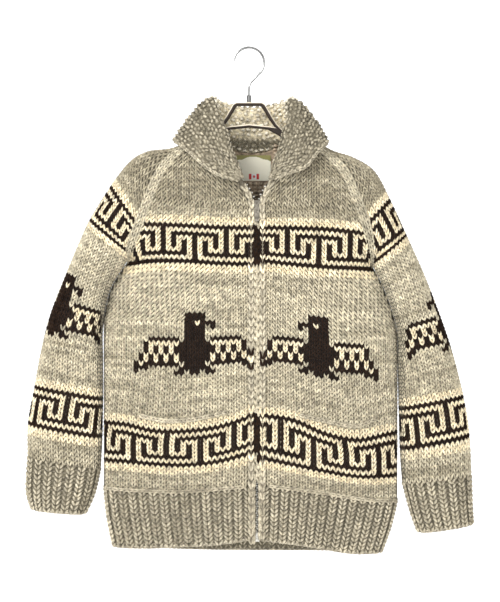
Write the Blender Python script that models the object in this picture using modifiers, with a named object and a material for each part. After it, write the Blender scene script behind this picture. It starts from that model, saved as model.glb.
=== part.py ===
"""Cowichan cardigan hanging on a hanger.

A heavy hand-knitted raglan cardigan with a shawl collar, a zip front and two
inset pockets. The fronts, back and sleeves are single thick knitted walls, the
hem and cuffs are ribbed, and the collar is moss knit, rolled over.

Metres, +Z up, the front faces -Y. The origin is the inside of the hook's crown,
where a rail holds it. Tables and sizes are in millimetres and named; MM turns
them to metres when a mesh is made. "Left" is the viewer's left (-X).
"""
import math

import bmesh
import bpy
import numpy as np
from mathutils import Matrix, Vector
from mathutils.bvhtree import BVHTree

MM = 0.001

# ---------------------------------------------------------------- driving sizes
WALL = 5.0              # thickness of the knitted cloth
SEAM = 0.8              # gap left between two pieces at a seam
RIB_HEIGHT = 2.4        # how far a rib stands out of the ribbing
FLATTEN = 0.84          # section roundness: 1 is an ellipse, less is flatter
SHARE_ABOVE = 0.25      # two walls share a seam's direction where theirs are nearer than this cosine

ZIP_X = 14.5            # the zip hangs a little to the right of the hook
ZIP_HALF = 6.0          # from the zip's middle to each front's edge
ZIP_TOP = -286.0        # the slider's height: the neck is open above it

SLEEVE_COLUMNS = 22     # faces round a sleeve
FRONT_COLUMNS = 11      # faces across a front
BACK_COLUMNS = 16       # faces across the back
HEM_FRONT_RIBS = 15     # ribs across the hem of one front
HEM_BACK_RIBS = 29
CUFF_RIBS = 17          # ribs round a cuff
RIB_POINTS = 4          # faces across a rib
HEM_ROWS = (0, 0.5, 1)    # heights of the ribbing's rows, lower edge to top
HEM_BULGE = 3.0         # how far the ribbing swells half way up
HEM_GAP = 0.1           # between the plain knitting and the ribbing
CUFF_GAP = 0.1
CUFF_ROWS = 3
CUFF_TURNS = 161        # points round a cuff before its ribs are spaced evenly
COLLAR_STATIONS = 44    # faces along the collar

# Sleeve sections from the neck down. Each section runs from the outer edge of
# the sleeve to its seam: the raglan seam down to the underarm (row 6), and the
# inner edge of the closed sleeve below it. wrap is the angle that the section
# turns on each side of the outer edge, 180 where the sleeve is closed.
SLEEVE_FIELDS = ("outer_x", "outer_z", "seam_x", "seam_z", "wrap", "front", "back")
SLEEVE_LEFT = (
    (-81, -150, -75, -159, 62, 26, 26),
    (-137, -184, -121, -188, 66, 31, 30),
    (-188, -192, -156, -222, 80, 41, 37),
    (-222, -212, -180, -270, 98, 47, 41),
    (-257, -257, -203, -332, 112, 53, 45),
    (-291, -312, -220, -374, 146, 56, 48),
    (-305, -339, -229, -398, 180, 56, 48),
    (-337, -414, -259, -450, 180, 54, 47),
    (-368, -493, -272, -517, 180, 52, 46),
    (-386, -563, -272, -584, 180, 49, 44),
    (-398, -628, -272, -650, 180, 46, 41),
    (-410, -694, -273, -719, 180, 44, 39),
    (-411, -756, -276, -780, 180, 42, 37),
)
SLEEVE_RIGHT = (
    (92, -152, 86, -161, 62, 26, 26),
    (150, -188, 134, -192, 66, 31, 30),
    (193, -203, 172, -228, 80, 41, 37),
    (233, -229, 193, -270, 98, 47, 41),
    (262, -282, 215, -330, 112, 53, 45),
    (286, -334, 227, -382, 146, 56, 48),
    (296, -356, 233, -408, 180, 56, 48),
    (325, -421, 255, -455, 180, 54, 47),
    (355, -498, 275, -521, 180, 52, 46),
    (378, -567, 277, -589, 180, 49, 44),
    (398, -646, 279, -668, 180, 46, 41),
    (409, -717, 281, -741, 180, 44, 39),
    (413, -791, 285, -806, 180, 42, 37),
)
UNDERARM = 6            # the row of both tables where the sleeve closes
UNDERARM_EASE = 2.0     # how far the body stands clear of the sleeve in the armpit
EASE_FROM = 4.9         # the row from which it starts to
CUFF_FIELDS = ("outer_x", "outer_z", "seam_x", "seam_z", "front", "back")
CUFF_LEFT = ((-411, -756, -276, -780, 42, 37), (-414, -820, -287, -828, 38, 34), (-405, -854, -303, -864, 35, 31))
CUFF_RIGHT = ((413, -791, 285, -806, 42, 37), (415, -850, 300, -862, 38, 34), (417, -882, 313, -898, 35, 31))

# The body's side seams: where the rows of the panels meet them, hem rib to
# underarm. The sleeve hangs against them, down to the body's full width.
SIDE_LEFT = (-816, -760, -700, -640, -580, -525, -490, -462, -438, -420, -408)
SIDE_RIGHT = (-840, -775, -710, -650, -590, -535, -500, -472, -448, -430, -418)
BODY_LEFT = -269.5
BODY_RIGHT = 275.5
SLEEVE_CLEAR = 1.0      # between the body's side and the sleeve that hangs against it
SHOULDER = -275.0        # above it the body's sections narrow with the yoke
TURN_IN = 6             # how suddenly it turns in to the side seam

# Rows of each front, from the hem rib up to the neck: the x of its front edge,
# how far it stands forward there, and the heights of one knitted row at the
# front edge, at three quarters between, and at the side or raglan seam.
FRONT_FIELDS = ("edge_x", "depth", "z_0", "z_25", "z_50", "z_75", "z_100")
FRONT_LEFT = (
    (8.5, 53, -808, -814, -819, -818, -816),
    (8.5, 58, -750, -762, -773, -773, -771),
    (8.5, 60, -680, -699, -711, -698, -694),
    (8.5, 58, -594, -598, -602, -604, -604),
    (8.5, 57, -488, -488, -488, -488, -489),
    (8.5, 58, -399, -399, -399, -398, -398),
    (8.5, 59, -326, -328, -330, -332, -334),
    (8.0, 61, -286, -285, -285, -284, -284),
    (-15, 61, -246, -247, -248, -248, -248),
    (-44, 55, -215, -216, -217, -218, -219),
    (-63, 44, -187, -189, -191, -193, -195),
    (-73, 28, -166, -165, -164, -162, -158),
)
FRONT_RIGHT = (
    (20.5, 53, -806, -814, -823, -834, -840),
    (20.5, 58, -756, -769, -784, -791, -791),
    (20.5, 60, -678, -689, -716, -721, -711),
    (20.5, 58, -600, -604, -609, -613, -617),
    (20.5, 57, -492, -494, -496, -497, -498),
    (20.5, 58, -399, -401, -404, -407, -408),
    (20.5, 59, -328, -328, -329, -330, -330),
    (21.0, 61, -286, -285, -285, -284, -284),
    (41, 61, -246, -247, -248, -248, -248),
    (60, 55, -215, -217, -219, -220, -221),
    (76, 44, -188, -190, -193, -196, -199),
    (84, 28, -168, -167, -166, -164, -160),
)

# Soft folds, from one place to another across the front and the back: how wide
# they are, and how deep they sink (below zero they stand up).
FOLD_FIELDS = ("x_0", "z_0", "x_1", "z_1", "width", "depth")
FRONT_FOLDS = (
    (-235, -405, -130, -455, 26, 5),
    (-238, -450, -150, -540, 30, -3),
    (-215, -570, -235, -700, 30, 4),
    (-185, -715, -60, -712, 30, -4),
    (-330, -470, -285, -520, 24, 5),
    (-385, -600, -300, -640, 26, 4),
    (238, -412, 140, -462, 26, 5),
    (243, -460, 165, -560, 30, -3),
    (225, -585, 238, -715, 30, 4),
    (90, -722, 220, -738, 30, -4),
    (335, -480, 290, -535, 24, 5),
    (392, -620, 305, -655, 26, 4),
)
BACK_FOLDS = (
    (-235, -410, -110, -490, 30, 5),
    (-90, -330, -160, -620, 34, -3),
    (-385, -600, -300, -640, 26, 4),
    (235, -415, 120, -500, 30, 5),
    (110, -340, 170, -650, 34, -3),
    (392, -620, 305, -655, 26, 4),
)
FOLD_FADE = 30.0        # folds fade out where the cloth turns round a side

# The back: for a row that meets the left seam at seam_z, its height in the
# middle of the back and how far it stands behind the hanger.
BACK_FIELDS = ("seam_z", "middle_z", "depth")
BACK_ROWS = (
    (-816, -826, 43), (-700, -706, 48), (-550, -552, 50), (-398, -400, 51),
    (-334, -338, 51), (-270, -284, 50), (-222, -244, 49), (-184, -214, 48), (-158, -190, 47),
)
BACK_X = 7.0            # the middle of the back

# The hem's lower edge, as parts of the way from the front edge to the side.
HEM_LEFT = (-906, -916, -920, -924, -925)
HEM_RIGHT = (-908, -915, -924, -934, -936)
HEM_SIDE_LEFT = -253    # the side seam at the lower edge
HEM_SIDE_RIGHT = 247
HEM_BACK_Z = -936       # the back hangs lower than the fronts
HEM_FRONT_DEPTH = 45
HEM_BACK_DEPTH = 38

# The collar: for each station, part of the way round the neck from the middle
# of the back (0) to the front ends (-1 left, 1 right), the crest of its roll
# and its free edge.
COLLAR_FIELDS = ("station", "roll_x", "roll_y", "roll_z", "edge_x", "edge_y", "edge_z")
COLLAR_ROWS = (
    (-1.00, -12, -68, -240, -19, -75, -250),
    (-0.93, -23, -68, -214, -44, -79, -246),
    (-0.84, -35, -60, -182, -76, -75, -229),
    (-0.75, -45, -46, -150, -106, -64, -202),
    (-0.64, -61, -24, -116, -129, -42, -182),
    (-0.50, -67, 4, -91, -137, 2, -174),
    (-0.34, -58, 34, -91, -112, 54, -178),
    (-0.18, -31, 49, -98, -56, 74, -188),
    (0.00, 7, 50, -102, 7, 78, -194),
    (0.18, 45, 49, -98, 72, 74, -190),
    (0.34, 68, 34, -92, 124, 54, -181),
    (0.50, 77, 4, -93, 144, 2, -177),
    (0.64, 78, -24, -123, 139, -42, -185),
    (0.75, 65, -46, -156, 123, -62, -202),
    (0.84, 56, -60, -184, 104, -75, -226),
    (0.93, 46, -68, -214, 74, -79, -238),
    (1.00, 40, -68, -240, 45, -75, -247),
)
NECK_END = -247.0       # where the collar ends on the fronts' edges, above the zip
ROLL_RADIUS = 9.0       # of the fold line, on its hidden side
ROLL_SHARE = 0.17       # at the front ends the fold is this part of the stand's height
FALL_BULGE = (5.0, 4.0) # how far the collar's fall swells, upper and lower part

# The hanger: half of its outline and of the opening in its crown.
HANGER_THICK = 9.0
HANGER_TOP = ((0, -100), (24, -100), (30, -104), (43, -127), (52, -141), (66, -155), (95, -170.5), (136, -189.4),
              (175, -202.5), (200, -212.8), (208, -219))
HANGER_UNDER = ((203, -228), (170, -219), (136, -207), (95, -190), (60, -165), (35, -151), (0, -147))
HANGER_HOLE = ((0, -107), (22, -107), (38, -133), (48, -147), (34, -144.5), (0, -141))

HOOK_WIRE = 4.0         # diameter of the hook's wire
HOOK_RADIUS = 28.3      # of the hook's bend, at the middle of the wire
FERRULE_RADIUS = 4.3
FERRULE_TOP = -87.5
FERRULE_FOOT = -99.7

HOOK_TIP = 172          # degrees round the bend where the wire ends
HOOK_TURN = -38         # and where it turns back to the shank
HOOK_SHANK = ((17.5, -48), (10, -56.5), (3, -63.5), (0.2, -71), (0, -78), (0, -87.2))

LABEL_WIDTH = 68.0
LABEL_TOP = -195.0
LABEL_FOOT = -243.0
LABEL_THICK = 1.0
LABEL_GAP = 0.5
LABEL_COLUMNS = 7
LABEL_ROWS = 3

EDGING_WIDTH = 9.0      # the chained selvedge beside the zip
EDGING_HEIGHT = 3.2
EDGING_LIFT = 0.4
BEAD_SECTION = ((-1, 0), (-0.8, 0.62), (-0.3, 1), (0.3, 1), (0.8, 0.62), (1, 0))

# The mouths of the pockets, across and up.
POCKET_LEFT = ((-199, -680), (-175, -685), (-147, -689), (-110, -687), (-73, -680), (-41, -672))
POCKET_RIGHT = ((93, -678), (132, -687), (169, -695.5), (197, -698.5), (221, -691), (236, -684))
POCKET_POINTS = 13
POCKET_WIDTH = 7.0
POCKET_HEIGHT = 3.0
POCKET_LIFT = 0.9
SMOOTH_UNDER = 40       # degrees
AWAY = 300.0            # from outside the cardigan, to find its surface

ZIP_SUNK = 3.6          # the teeth lie this far behind the face of the cloth
ZIP_END = -250.0        # the top of the open zip, under the collar
ZIP_SHORT = 3.0         # the chains end this far below the collar
OPEN_HEIGHTS = (-276, -266, -258, -250)
TEETH_IN = 0.25         # from the zip's middle to the teeth of one side
TEETH_OUT = 3.4
TEETH_DEPTH = 1.5
TAPE_REACH = 12.0
TAPE_THICK = 1.0
TAPE_GAP = 1.2          # between the tape and the cloth that it is sewn behind
NEARBY = 5.0
SLIDER_WIDTH = 11.0
SLIDER_HEIGHT = 17.0
SLIDER_SPREAD = 2.6     # how far the slider parts the chains
SLIDER_GAP = 0.5
POST = 1.4              # half the width of the wedge that parts the chains
PLATE = 1.6             # thickness of the slider's plates
CROWN_WIDTH = 3.0
CROWN_HEIGHT = 7.2
CROWN_DEPTH = 5.1
CROWN_WIRE = 1.7
TAB_WIDTH = 8.6
TAB_LENGTH = 34.0
TAB_THICK = 1.8
EYE_WIDTH = 4.2
EYE_DEPTH = 6.4
STOP_WIDTH = 9.6
STOP_DEPTH = 3.2
STOP_TOP = -893.5
STOP_FOOT = -911.0

COLOURS = {
    "knit": ((0.52, 0.47, 0.38), 0.95, 0.0),
    "edging": ((0.66, 0.61, 0.50), 0.95, 0.0),
    "label": ((0.85, 0.82, 0.68), 0.7, 0.0),
    "hanger": ((0.10, 0.075, 0.05), 0.35, 0.0),
    "steel": ((0.62, 0.62, 0.60), 0.3, 1.0),
    "zip": ((0.30, 0.28, 0.24), 0.45, 0.8),
}


# ---------------------------------------------------------------- small helpers
def smooth(knots, values, at):
    """A smooth curve through values at the rising knots, read at one place."""
    knots = np.asarray(knots, float)
    values = np.asarray(values, float)
    slopes = np.gradient(values, knots, axis=0)
    i = int(np.clip(np.searchsorted(knots, at) - 1, 0, len(knots) - 2))
    step = knots[i + 1] - knots[i]
    t = (at - knots[i]) / step
    ahead = t * t * (3 - 2 * t)
    return (values[i] * (1 - ahead) + values[i + 1] * ahead
            + step * t * (1 - t) * ((1 - t) * slopes[i] - t * slopes[i + 1]))


def unit(vectors):
    """Vectors scaled to length 1."""
    length = np.linalg.norm(vectors, axis=-1, keepdims=True)
    return vectors / np.maximum(length, 1e-9)


def round_part(value):
    """A sine or cosine bent so that the section it draws is flatter than an ellipse."""
    return math.copysign(abs(value) ** FLATTEN, value)


def outward(grid):
    """Unit normals of a grid of points, from its own rows and columns."""
    across = np.gradient(grid, axis=1)
    along = np.gradient(grid, axis=0)
    return unit(np.cross(across, along))


def in_plane(normals, ring):
    """The normals of a flat ring of points, laid into the ring's own plane."""
    axis = unit(np.cross(ring[len(ring) // 2] - ring[0], (0, 1, 0)))
    return unit(normals - (normals @ axis)[:, None] * axis)


# ------------------------------------------------------------ the cloth's shape
def sleeve_point(table, row, turn):
    """A point of a sleeve: turn runs from -1 at the front seam to 1 at the back seam."""
    outer_x, outer_z, seam_x, seam_z, wrap, front, back = smooth(range(len(table)), table, row)
    wrap = math.radians(min(wrap, 180.0))
    angle = abs(turn) * wrap
    inwards = (1 - round_part(math.cos(angle))) / (1 - round_part(math.cos(wrap)))
    depth = abs(math.sin(angle)) ** FLATTEN
    y = -front * depth if turn < 0 else back * depth
    return (outer_x + (seam_x - outer_x) * inwards, y, outer_z + (seam_z - outer_z) * inwards)


def folded(grid):
    """A grid of points with the folds of its side of the cardigan sunk into it."""
    grid = grid.copy()
    x, y, z = (grid[..., k].copy() for k in range(3))
    for folds, sign in ((FRONT_FOLDS, -1), (BACK_FOLDS, 1)):
        here = np.clip(y * sign / FOLD_FADE, 0, 1)
        for x_0, z_0, x_1, z_1, width, depth in folds:
            length = math.hypot(x_1 - x_0, z_1 - z_0)
            ahead_x, ahead_z = (x_1 - x_0) / length, (z_1 - z_0) / length
            along = np.clip((x - x_0) * ahead_x + (z - z_0) * ahead_z, 0, length)
            away = np.hypot(x - x_0 - along * ahead_x, z - z_0 - along * ahead_z)
            fade = 1 - 0.7 * (along / length) ** 2
            grid[..., 1] -= sign * here * depth * fade * np.exp(-(away / width) ** 2)
    return grid


def own_width(inner_x, depth, seam):
    """The half width at which a section of this depth runs through its seam point."""
    drop = 1 - min(0.999, abs(seam[1] / depth)) ** (2 / FLATTEN)
    return abs(seam[0] - inner_x) / drop ** (FLATTEN / 2)


def section_row(inner_x, depth, seam, heights, columns, width):
    """One row of a front or of half the back, from its middle edge to its seam point."""
    seam_x, seam_y, _ = seam
    reach = abs(seam_x - inner_x)
    sign = math.copysign(1, seam_x - inner_x)
    end = math.acos(min(1.0, reach / width) ** (1 / FLATTEN))
    turned_in = seam_y - depth * round_part(math.sin(end))
    row = []
    for i in range(columns + 1):
        angle = math.pi / 2 + (end - math.pi / 2) * i / columns
        x = width * round_part(max(0.0, math.cos(angle)))
        part = min(1.0, x / reach)
        y = depth * round_part(math.sin(angle)) + turned_in * part ** TURN_IN
        row.append((inner_x + sign * x, y, smooth((0, 0.25, 0.5, 0.75, 1), heights, part)))
    return np.array(row)


def row_width(inner_x, depth, seam, body):
    """Below the shoulders the sections have the body's full width, above them their own."""
    if seam[2] < SHOULDER:
        return abs(body - inner_x)
    return own_width(inner_x, depth, seam)


YOKE_ROWS = (6, 5.85, 5.6, 5.3, 4.9, 4.5, 4, 3.27, 2.75, 2.2, 1.6, 1, 0.5, 0)
ARM_ROWS = (6.3, 6.65, 7, 7.6, 8.3, 9.1, 10, 11, 12)


def seam_stations(side, reach, sleeve):
    """Shared points of the seams from the hem rib to the neck, with the front's side first."""
    levels = np.linspace(UNDERARM, len(sleeve) - 1, 60)
    hanging = [sleeve_point(sleeve, level, -1) for level in levels][::-1]
    stations = []
    for z in side:
        x = np.interp(z, [point[2] for point in hanging], [point[0] for point in hanging])
        x = math.copysign(min(abs(x) - SLEEVE_CLEAR, abs(reach)), reach)
        stations.append(((x, 0, z), (x, 0, z)))
    for row in YOKE_ROWS:
        ease = math.copysign(UNDERARM_EASE * max(0, row - EASE_FROM) / (UNDERARM - EASE_FROM), -reach)
        points = [sleeve_point(sleeve, row, turn) for turn in (-1, 1)]
        stations.append(tuple((x + ease, y, z) for x, y, z in points))
    return stations


def front_grid(table, stations):
    """The outer points of a front: a row for each seam station, from the zip to the seam."""
    seam_heights = [row[6] for row in table]
    rows = []
    for seam, _ in stations:
        level = np.interp(seam[2], seam_heights, range(len(table)))
        edge_x, depth, *heights = smooth(range(len(table)), table, level)
        heights = [h + (seam[2] - heights[-1]) * i / 4 for i, h in enumerate(heights)]
        width = row_width(edge_x, depth, seam, stations[0][0][0])
        rows.append(section_row(edge_x, -depth, seam, heights, FRONT_COLUMNS, width))
    return np.array(rows)


def back_grid(left, right):
    """The outer points of the back, from its left seam to its right seam."""
    rows = []
    half = BACK_COLUMNS // 2
    for (_, seam_left), (_, seam_right) in zip(left, right):
        middle_z, depth = smooth([row[0] for row in BACK_ROWS], [row[1:] for row in BACK_ROWS], seam_left[2])
        halves = []
        for seam, body in ((seam_left, BODY_LEFT), (seam_right, BODY_RIGHT)):
            drop = (middle_z - seam[2])
            width = row_width(BACK_X, depth, seam, body)
            heights = [seam[2] + drop * (1 - part * part) for part in (0, 0.25, 0.5, 0.75, 1)]
            halves.append(section_row(BACK_X, depth, seam, heights, half, width))
        rows.append(np.concatenate((halves[0][::-1], halves[1][1:])))
    return np.array(rows)


def sleeve_grid(table):
    """The outer points of a sleeve, round from the front seam to the back seam."""
    turns = np.linspace(-1, 1, SLEEVE_COLUMNS + 1)
    rows = tuple(reversed(ARM_ROWS)) + YOKE_ROWS
    return np.array([[sleeve_point(table, row, turn) for turn in turns] for row in rows])


def at_height(line, z):
    """The point of a rising line at one height."""
    return np.array((np.interp(z, line[:, 2], line[:, 0]), np.interp(z, line[:, 2], line[:, 1]), z))


def neck_loop(fronts, sleeves, back):
    """The neck edge, from the left front's collar end to the right front's."""
    ends = []
    for front in fronts:
        line = front[:, 0]
        ends.append(np.concatenate(([at_height(line, NECK_END)], line[line[:, 2] > NECK_END + 4])))
    left, right = ends
    return np.concatenate((left, sleeves[0][-1][1:-1], back[-1], sleeves[1][-1][::-1][1:-1], right[::-1]))


def along_line(points, parts):
    """Points at parts (0 to 1) of the length of a broken line."""
    steps = np.linalg.norm(np.diff(points, axis=0), axis=1)
    length = np.concatenate(([0], np.cumsum(steps)))
    length /= length[-1]
    return np.stack([np.interp(parts, length, points[:, k]) for k in range(3)], axis=1)


def collar_profile(neck, roll, edge):
    """The collar's hidden side at one station: up its stand, over the roll and down the fall."""
    rise = unit(roll - neck)
    climb = unit(roll - edge)
    apex = unit(rise + climb)
    across = edge - neck
    across = unit(across - apex * np.dot(across, apex))
    reach = np.linalg.norm(roll - neck)
    radius = min(ROLL_RADIUS, reach * ROLL_SHARE)
    centre = roll - apex * (radius + WALL)
    start = neck + rise * SEAM * 2
    fall = centre + across * radius
    knots = [start, start * 0.5 + (centre - across * radius) * 0.5 - across * radius * 0.3]
    for degrees in (180, 120, 60, 0):
        angle = math.radians(degrees)
        knots.append(centre + across * radius * math.cos(angle) + apex * radius * math.sin(angle))
    knots.append(fall * 0.66 + edge * 0.34 + across * FALL_BULGE[0])
    knots.append(fall * 0.33 + edge * 0.67 + across * FALL_BULGE[1])
    knots.append(edge)
    return np.array(knots)


def collar_grid(loop):
    """The collar's hidden side: a column for each station round the neck."""
    stations = np.linspace(-1, 1, COLLAR_STATIONS + 1)
    middle = 0.5
    necks = along_line(loop, middle + stations / 2)
    knots = [row[0] for row in COLLAR_ROWS]
    columns = []
    for station, neck in zip(stations, necks):
        values = smooth(knots, [row[1:] for row in COLLAR_ROWS], station)
        columns.append(collar_profile(neck, values[:3], values[3:]))
    return np.array(columns).transpose(1, 0, 2)


# ---------------------------------------------------------------- making meshes
def material(name):
    """One Principled material for each finish."""
    found = bpy.data.materials.get(name)
    if found:
        return found
    colour, roughness, metallic = COLOURS[name]
    made = bpy.data.materials.new(name)
    made.use_nodes = True
    made.diffuse_color = (*colour, 1)
    shader = made.node_tree.nodes["Principled BSDF"]
    shader.inputs["Base Color"].default_value = (*colour, 1)
    shader.inputs["Roughness"].default_value = roughness
    shader.inputs["Metallic"].default_value = metallic
    return made


def add_object(name, mesh, finish):
    """Link a mesh to the cardigan's collection as a named object."""
    made = bpy.data.objects.new(name, mesh)
    mesh.materials.clear()
    mesh.materials.append(material(finish))
    CARDIGAN.objects.link(made)
    return made


def finish_bmesh(bm, name, finish, smooth_angle=None):
    """Close off a bmesh as an object, its faces out."""
    bmesh.ops.recalc_face_normals(bm, faces=bm.faces)
    mesh = bpy.data.meshes.new(name)
    bm.to_mesh(mesh)
    bm.free()
    if smooth_angle:
        mesh.shade_smooth()
        mesh.set_sharp_from_angle(angle=math.radians(smooth_angle))
    return add_object(name, mesh, finish)


def pull_back(grid, edges):
    """Draw the named edges of a grid back from its seams by half the seam gap."""
    grid = grid.copy()
    for edge in edges:
        if edge == "first_row":
            grid[0] += unit(grid[1] - grid[0]) * SEAM / 2
        if edge == "last_row":
            grid[-1] += unit(grid[-2] - grid[-1]) * SEAM / 2
        if edge == "first_column":
            grid[:, 0] += unit(grid[:, 1] - grid[:, 0]) * SEAM / 2
        if edge == "last_column":
            grid[:, -1] += unit(grid[:, -2] - grid[:, -1]) * SEAM / 2
    return grid


def cloth(name, outer, inner, finish="knit", closed_rows=0):
    """A closed wall between two grids of points; in its first closed_rows it is a tube."""
    rows, columns = outer.shape[:2]
    bm = bmesh.new()
    faces = []
    for points in (outer, inner):
        made = bmesh.ops.create_grid(bm, x_segments=columns - 1, y_segments=rows - 1, size=1)
        place = {}
        for vert in made["verts"]:
            column = round((vert.co.x + 1) / 2 * (columns - 1))
            row = round((vert.co.y + 1) / 2 * (rows - 1))
            vert.co = Vector(points[row, column]) * MM
            place[row, column] = vert
        closing = {place.pop((row, columns - 1)): place[row, 0] for row in range(closed_rows)}
        bmesh.ops.weld_verts(bm, targetmap=closing)
        faces.append(place)
    twin = {vert: faces[1][place] for place, vert in faces[0].items()}
    for edge in [edge for edge in bm.edges if edge.is_boundary and edge.verts[0] in twin]:
        start, end = edge.verts
        bm.faces.new((start, end, twin[end], twin[start]))
    return finish_bmesh(bm, name, finish)


def skin(name, rings, finish, smooth_angle=None):
    """A closed body through rings that each have the same number of points, capped at both ends."""
    rings = np.asarray(rings, float)
    count, sides = rings.shape[:2]
    bm = bmesh.new()
    made = bmesh.ops.create_grid(bm, x_segments=sides, y_segments=count - 1, size=1)
    for vert in made["verts"]:
        column = round((vert.co.x + 1) / 2 * sides) % sides
        row = round((vert.co.y + 1) / 2 * (count - 1))
        vert.co = Vector(rings[row, column]) * MM
    bmesh.ops.remove_doubles(bm, verts=bm.verts, dist=0.000005)
    bmesh.ops.holes_fill(bm, edges=[edge for edge in bm.edges if edge.is_boundary])
    return finish_bmesh(bm, name, finish, smooth_angle)


# --------------------------------------------------------- fronts, back, sleeves
def make_body():
    """The fronts, the back and the sleeves, with normals shared along their seams."""
    stations = (seam_stations(SIDE_LEFT, BODY_LEFT, SLEEVE_LEFT), seam_stations(SIDE_RIGHT, BODY_RIGHT, SLEEVE_RIGHT))
    fronts = [folded(front_grid(FRONT_LEFT, stations[0])), folded(front_grid(FRONT_RIGHT, stations[1]))]
    sleeves = [folded(sleeve_grid(SLEEVE_LEFT)), folded(sleeve_grid(SLEEVE_RIGHT))]
    back = folded(back_grid(*stations))

    front_normals = [-outward(fronts[0]), outward(fronts[1])]
    sleeve_normals = [-outward(sleeves[0]), outward(sleeves[1])]
    back_normals = -outward(back)
    below = len(SIDE_LEFT)
    arm = len(ARM_ROWS)
    for side, sign in ((0, -1), (1, 1)):
        back_edge = 0 if side == 0 else -1
        sideways = np.array((sign, 0, 0), float)
        front_normals[side][:below + 1, -1] = sideways
        back_normals[:below + 1, back_edge] = sideways
        front_normals[side][-3:] = unit(front_normals[side][-3:].mean(axis=1, keepdims=True))
        for panel, column, sleeve_column in ((front_normals[side], -1, 0), (back_normals, back_edge, -1)):
            for row in range(1, len(YOKE_ROWS)):
                mine, theirs = panel[below + row, column], sleeve_normals[side][arm + row, sleeve_column]
                if np.dot(mine, theirs) > SHARE_ABOVE:
                    panel[below + row, column] = unit(mine + theirs)
                    sleeve_normals[side][arm + row, sleeve_column] = unit(mine + theirs)
        closed = unit(sleeve_normals[side][:arm + 1, 0] + sleeve_normals[side][:arm + 1, -1])
        sleeve_normals[side][:arm + 1, 0] = closed
        sleeve_normals[side][:arm + 1, -1] = closed
        sleeve_normals[side][0] = in_plane(sleeve_normals[side][0], sleeves[side][0])

    names = ("left", "right")
    for side in (0, 1):
        inner = fronts[side] - front_normals[side] * WALL
        edges = ("first_row", "last_row", "first_column", "last_column")
        cloth("front_" + names[side], pull_back(fronts[side], edges), pull_back(inner, edges))
        inner = sleeves[side] - sleeve_normals[side] * WALL
        walls = []
        for grid in (sleeves[side], inner):
            drawn = pull_back(pull_back(grid, ("first_row", "last_row")), ("first_column", "last_column"))
            drawn[:arm + 1, 0] = pull_back(grid, ("first_row",))[:arm + 1, 0]
            drawn[:arm + 1, -1] = drawn[:arm + 1, 0]
            walls.append(drawn)
        cloth("sleeve_" + names[side], *walls, closed_rows=arm + 1)
    inner = back - back_normals * WALL
    edges = ("first_row", "last_row", "first_column", "last_column")
    cloth("back", pull_back(back, edges), pull_back(inner, edges))
    return fronts, sleeves, back


def clear_scene():
    """Start from nothing, with one collection for the cardigan."""
    for old in list(bpy.data.objects):
        bpy.data.objects.remove(old, do_unlink=True)
    made = bpy.data.collections.new("cowichan_cardigan")
    bpy.context.scene.collection.children.link(made)
    return made


# ------------------------------------------------------------------- the ribbing
def rib_wave(count, ribs):
    """How far each of count points across a ribbed piece stands out, from 0 to 1."""
    phase = np.arange(count) / (count - 1) * ribs
    return 0.5 - 0.5 * np.cos(phase * 2 * math.pi)


def resample(points, count):
    """A row of points spread evenly along its own length."""
    return along_line(points, np.linspace(0, 1, count))


def hem_piece(name, top_row, bottom_row, side_columns, ribs):
    """The hem ribbing below one panel, drawn in under the panel's lower edge."""
    count = ribs * RIB_POINTS + 1
    top, bottom = resample(top_row, count), resample(bottom_row, count)
    rows = np.array([bottom + (top - bottom) * part for part in HEM_ROWS])
    normals = outward(rows)
    normals *= np.sign((normals * (rows - rows.mean(axis=(0, 1))) * (0, 1, 0)).sum())
    normals[..., 2] = 0
    normals = unit(normals)
    for column in side_columns:
        normals[:, column] = (math.copysign(1, rows[0, column, 0]), 0, 0)
    drawn = np.sin(np.pi * np.clip(np.array(HEM_ROWS), 0, 1)) * HEM_BULGE - RIB_HEIGHT
    rows = rows + normals * drawn[:, None, None]
    walls = []
    wave = rib_wave(count, ribs)[None, :, None] * RIB_HEIGHT
    for offset in (wave, RIB_HEIGHT - WALL):
        walls.append(pull_back(rows + normals * offset, ("first_column", "last_column")))
    return cloth(name, *walls)


def make_hem():
    """The ribbing of the two fronts and the back."""
    stations = np.linspace(0, 1, FRONT_COLUMNS + 1)
    for side, name, heights, side_x in ((0, "hem_left", HEM_LEFT, HEM_SIDE_LEFT),
                                        (1, "hem_right", HEM_RIGHT, HEM_SIDE_RIGHT)):
        top = FRONTS[side][0].copy()
        top[:, 2] -= HEM_GAP
        seam = (side_x, 0, heights[-1])
        width = abs(side_x - top[0, 0])
        bottom = section_row(top[0, 0], -HEM_FRONT_DEPTH, seam, heights, FRONT_COLUMNS, width)
        hem_piece(name, top, bottom, (-1,), HEM_FRONT_RIBS)
    top = BACK[0].copy()
    top[:, 2] -= HEM_GAP
    halves = []
    for side_x, side_z in ((HEM_SIDE_LEFT, HEM_LEFT[-1]), (HEM_SIDE_RIGHT, HEM_RIGHT[-1])):
        drop = HEM_BACK_Z - side_z
        heights = [side_z + drop * (1 - part ** 2) for part in (0, 0.25, 0.5, 0.75, 1)]
        width = abs(side_x - BACK_X)
        seam = (side_x, 0, side_z)
        halves.append(section_row(BACK_X, HEM_BACK_DEPTH, seam, heights, BACK_COLUMNS // 2, width))
    bottom = np.concatenate((halves[0][::-1], halves[1][1:]))
    hem_piece("hem_back", top, bottom, (0, -1), HEM_BACK_RIBS)


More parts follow.
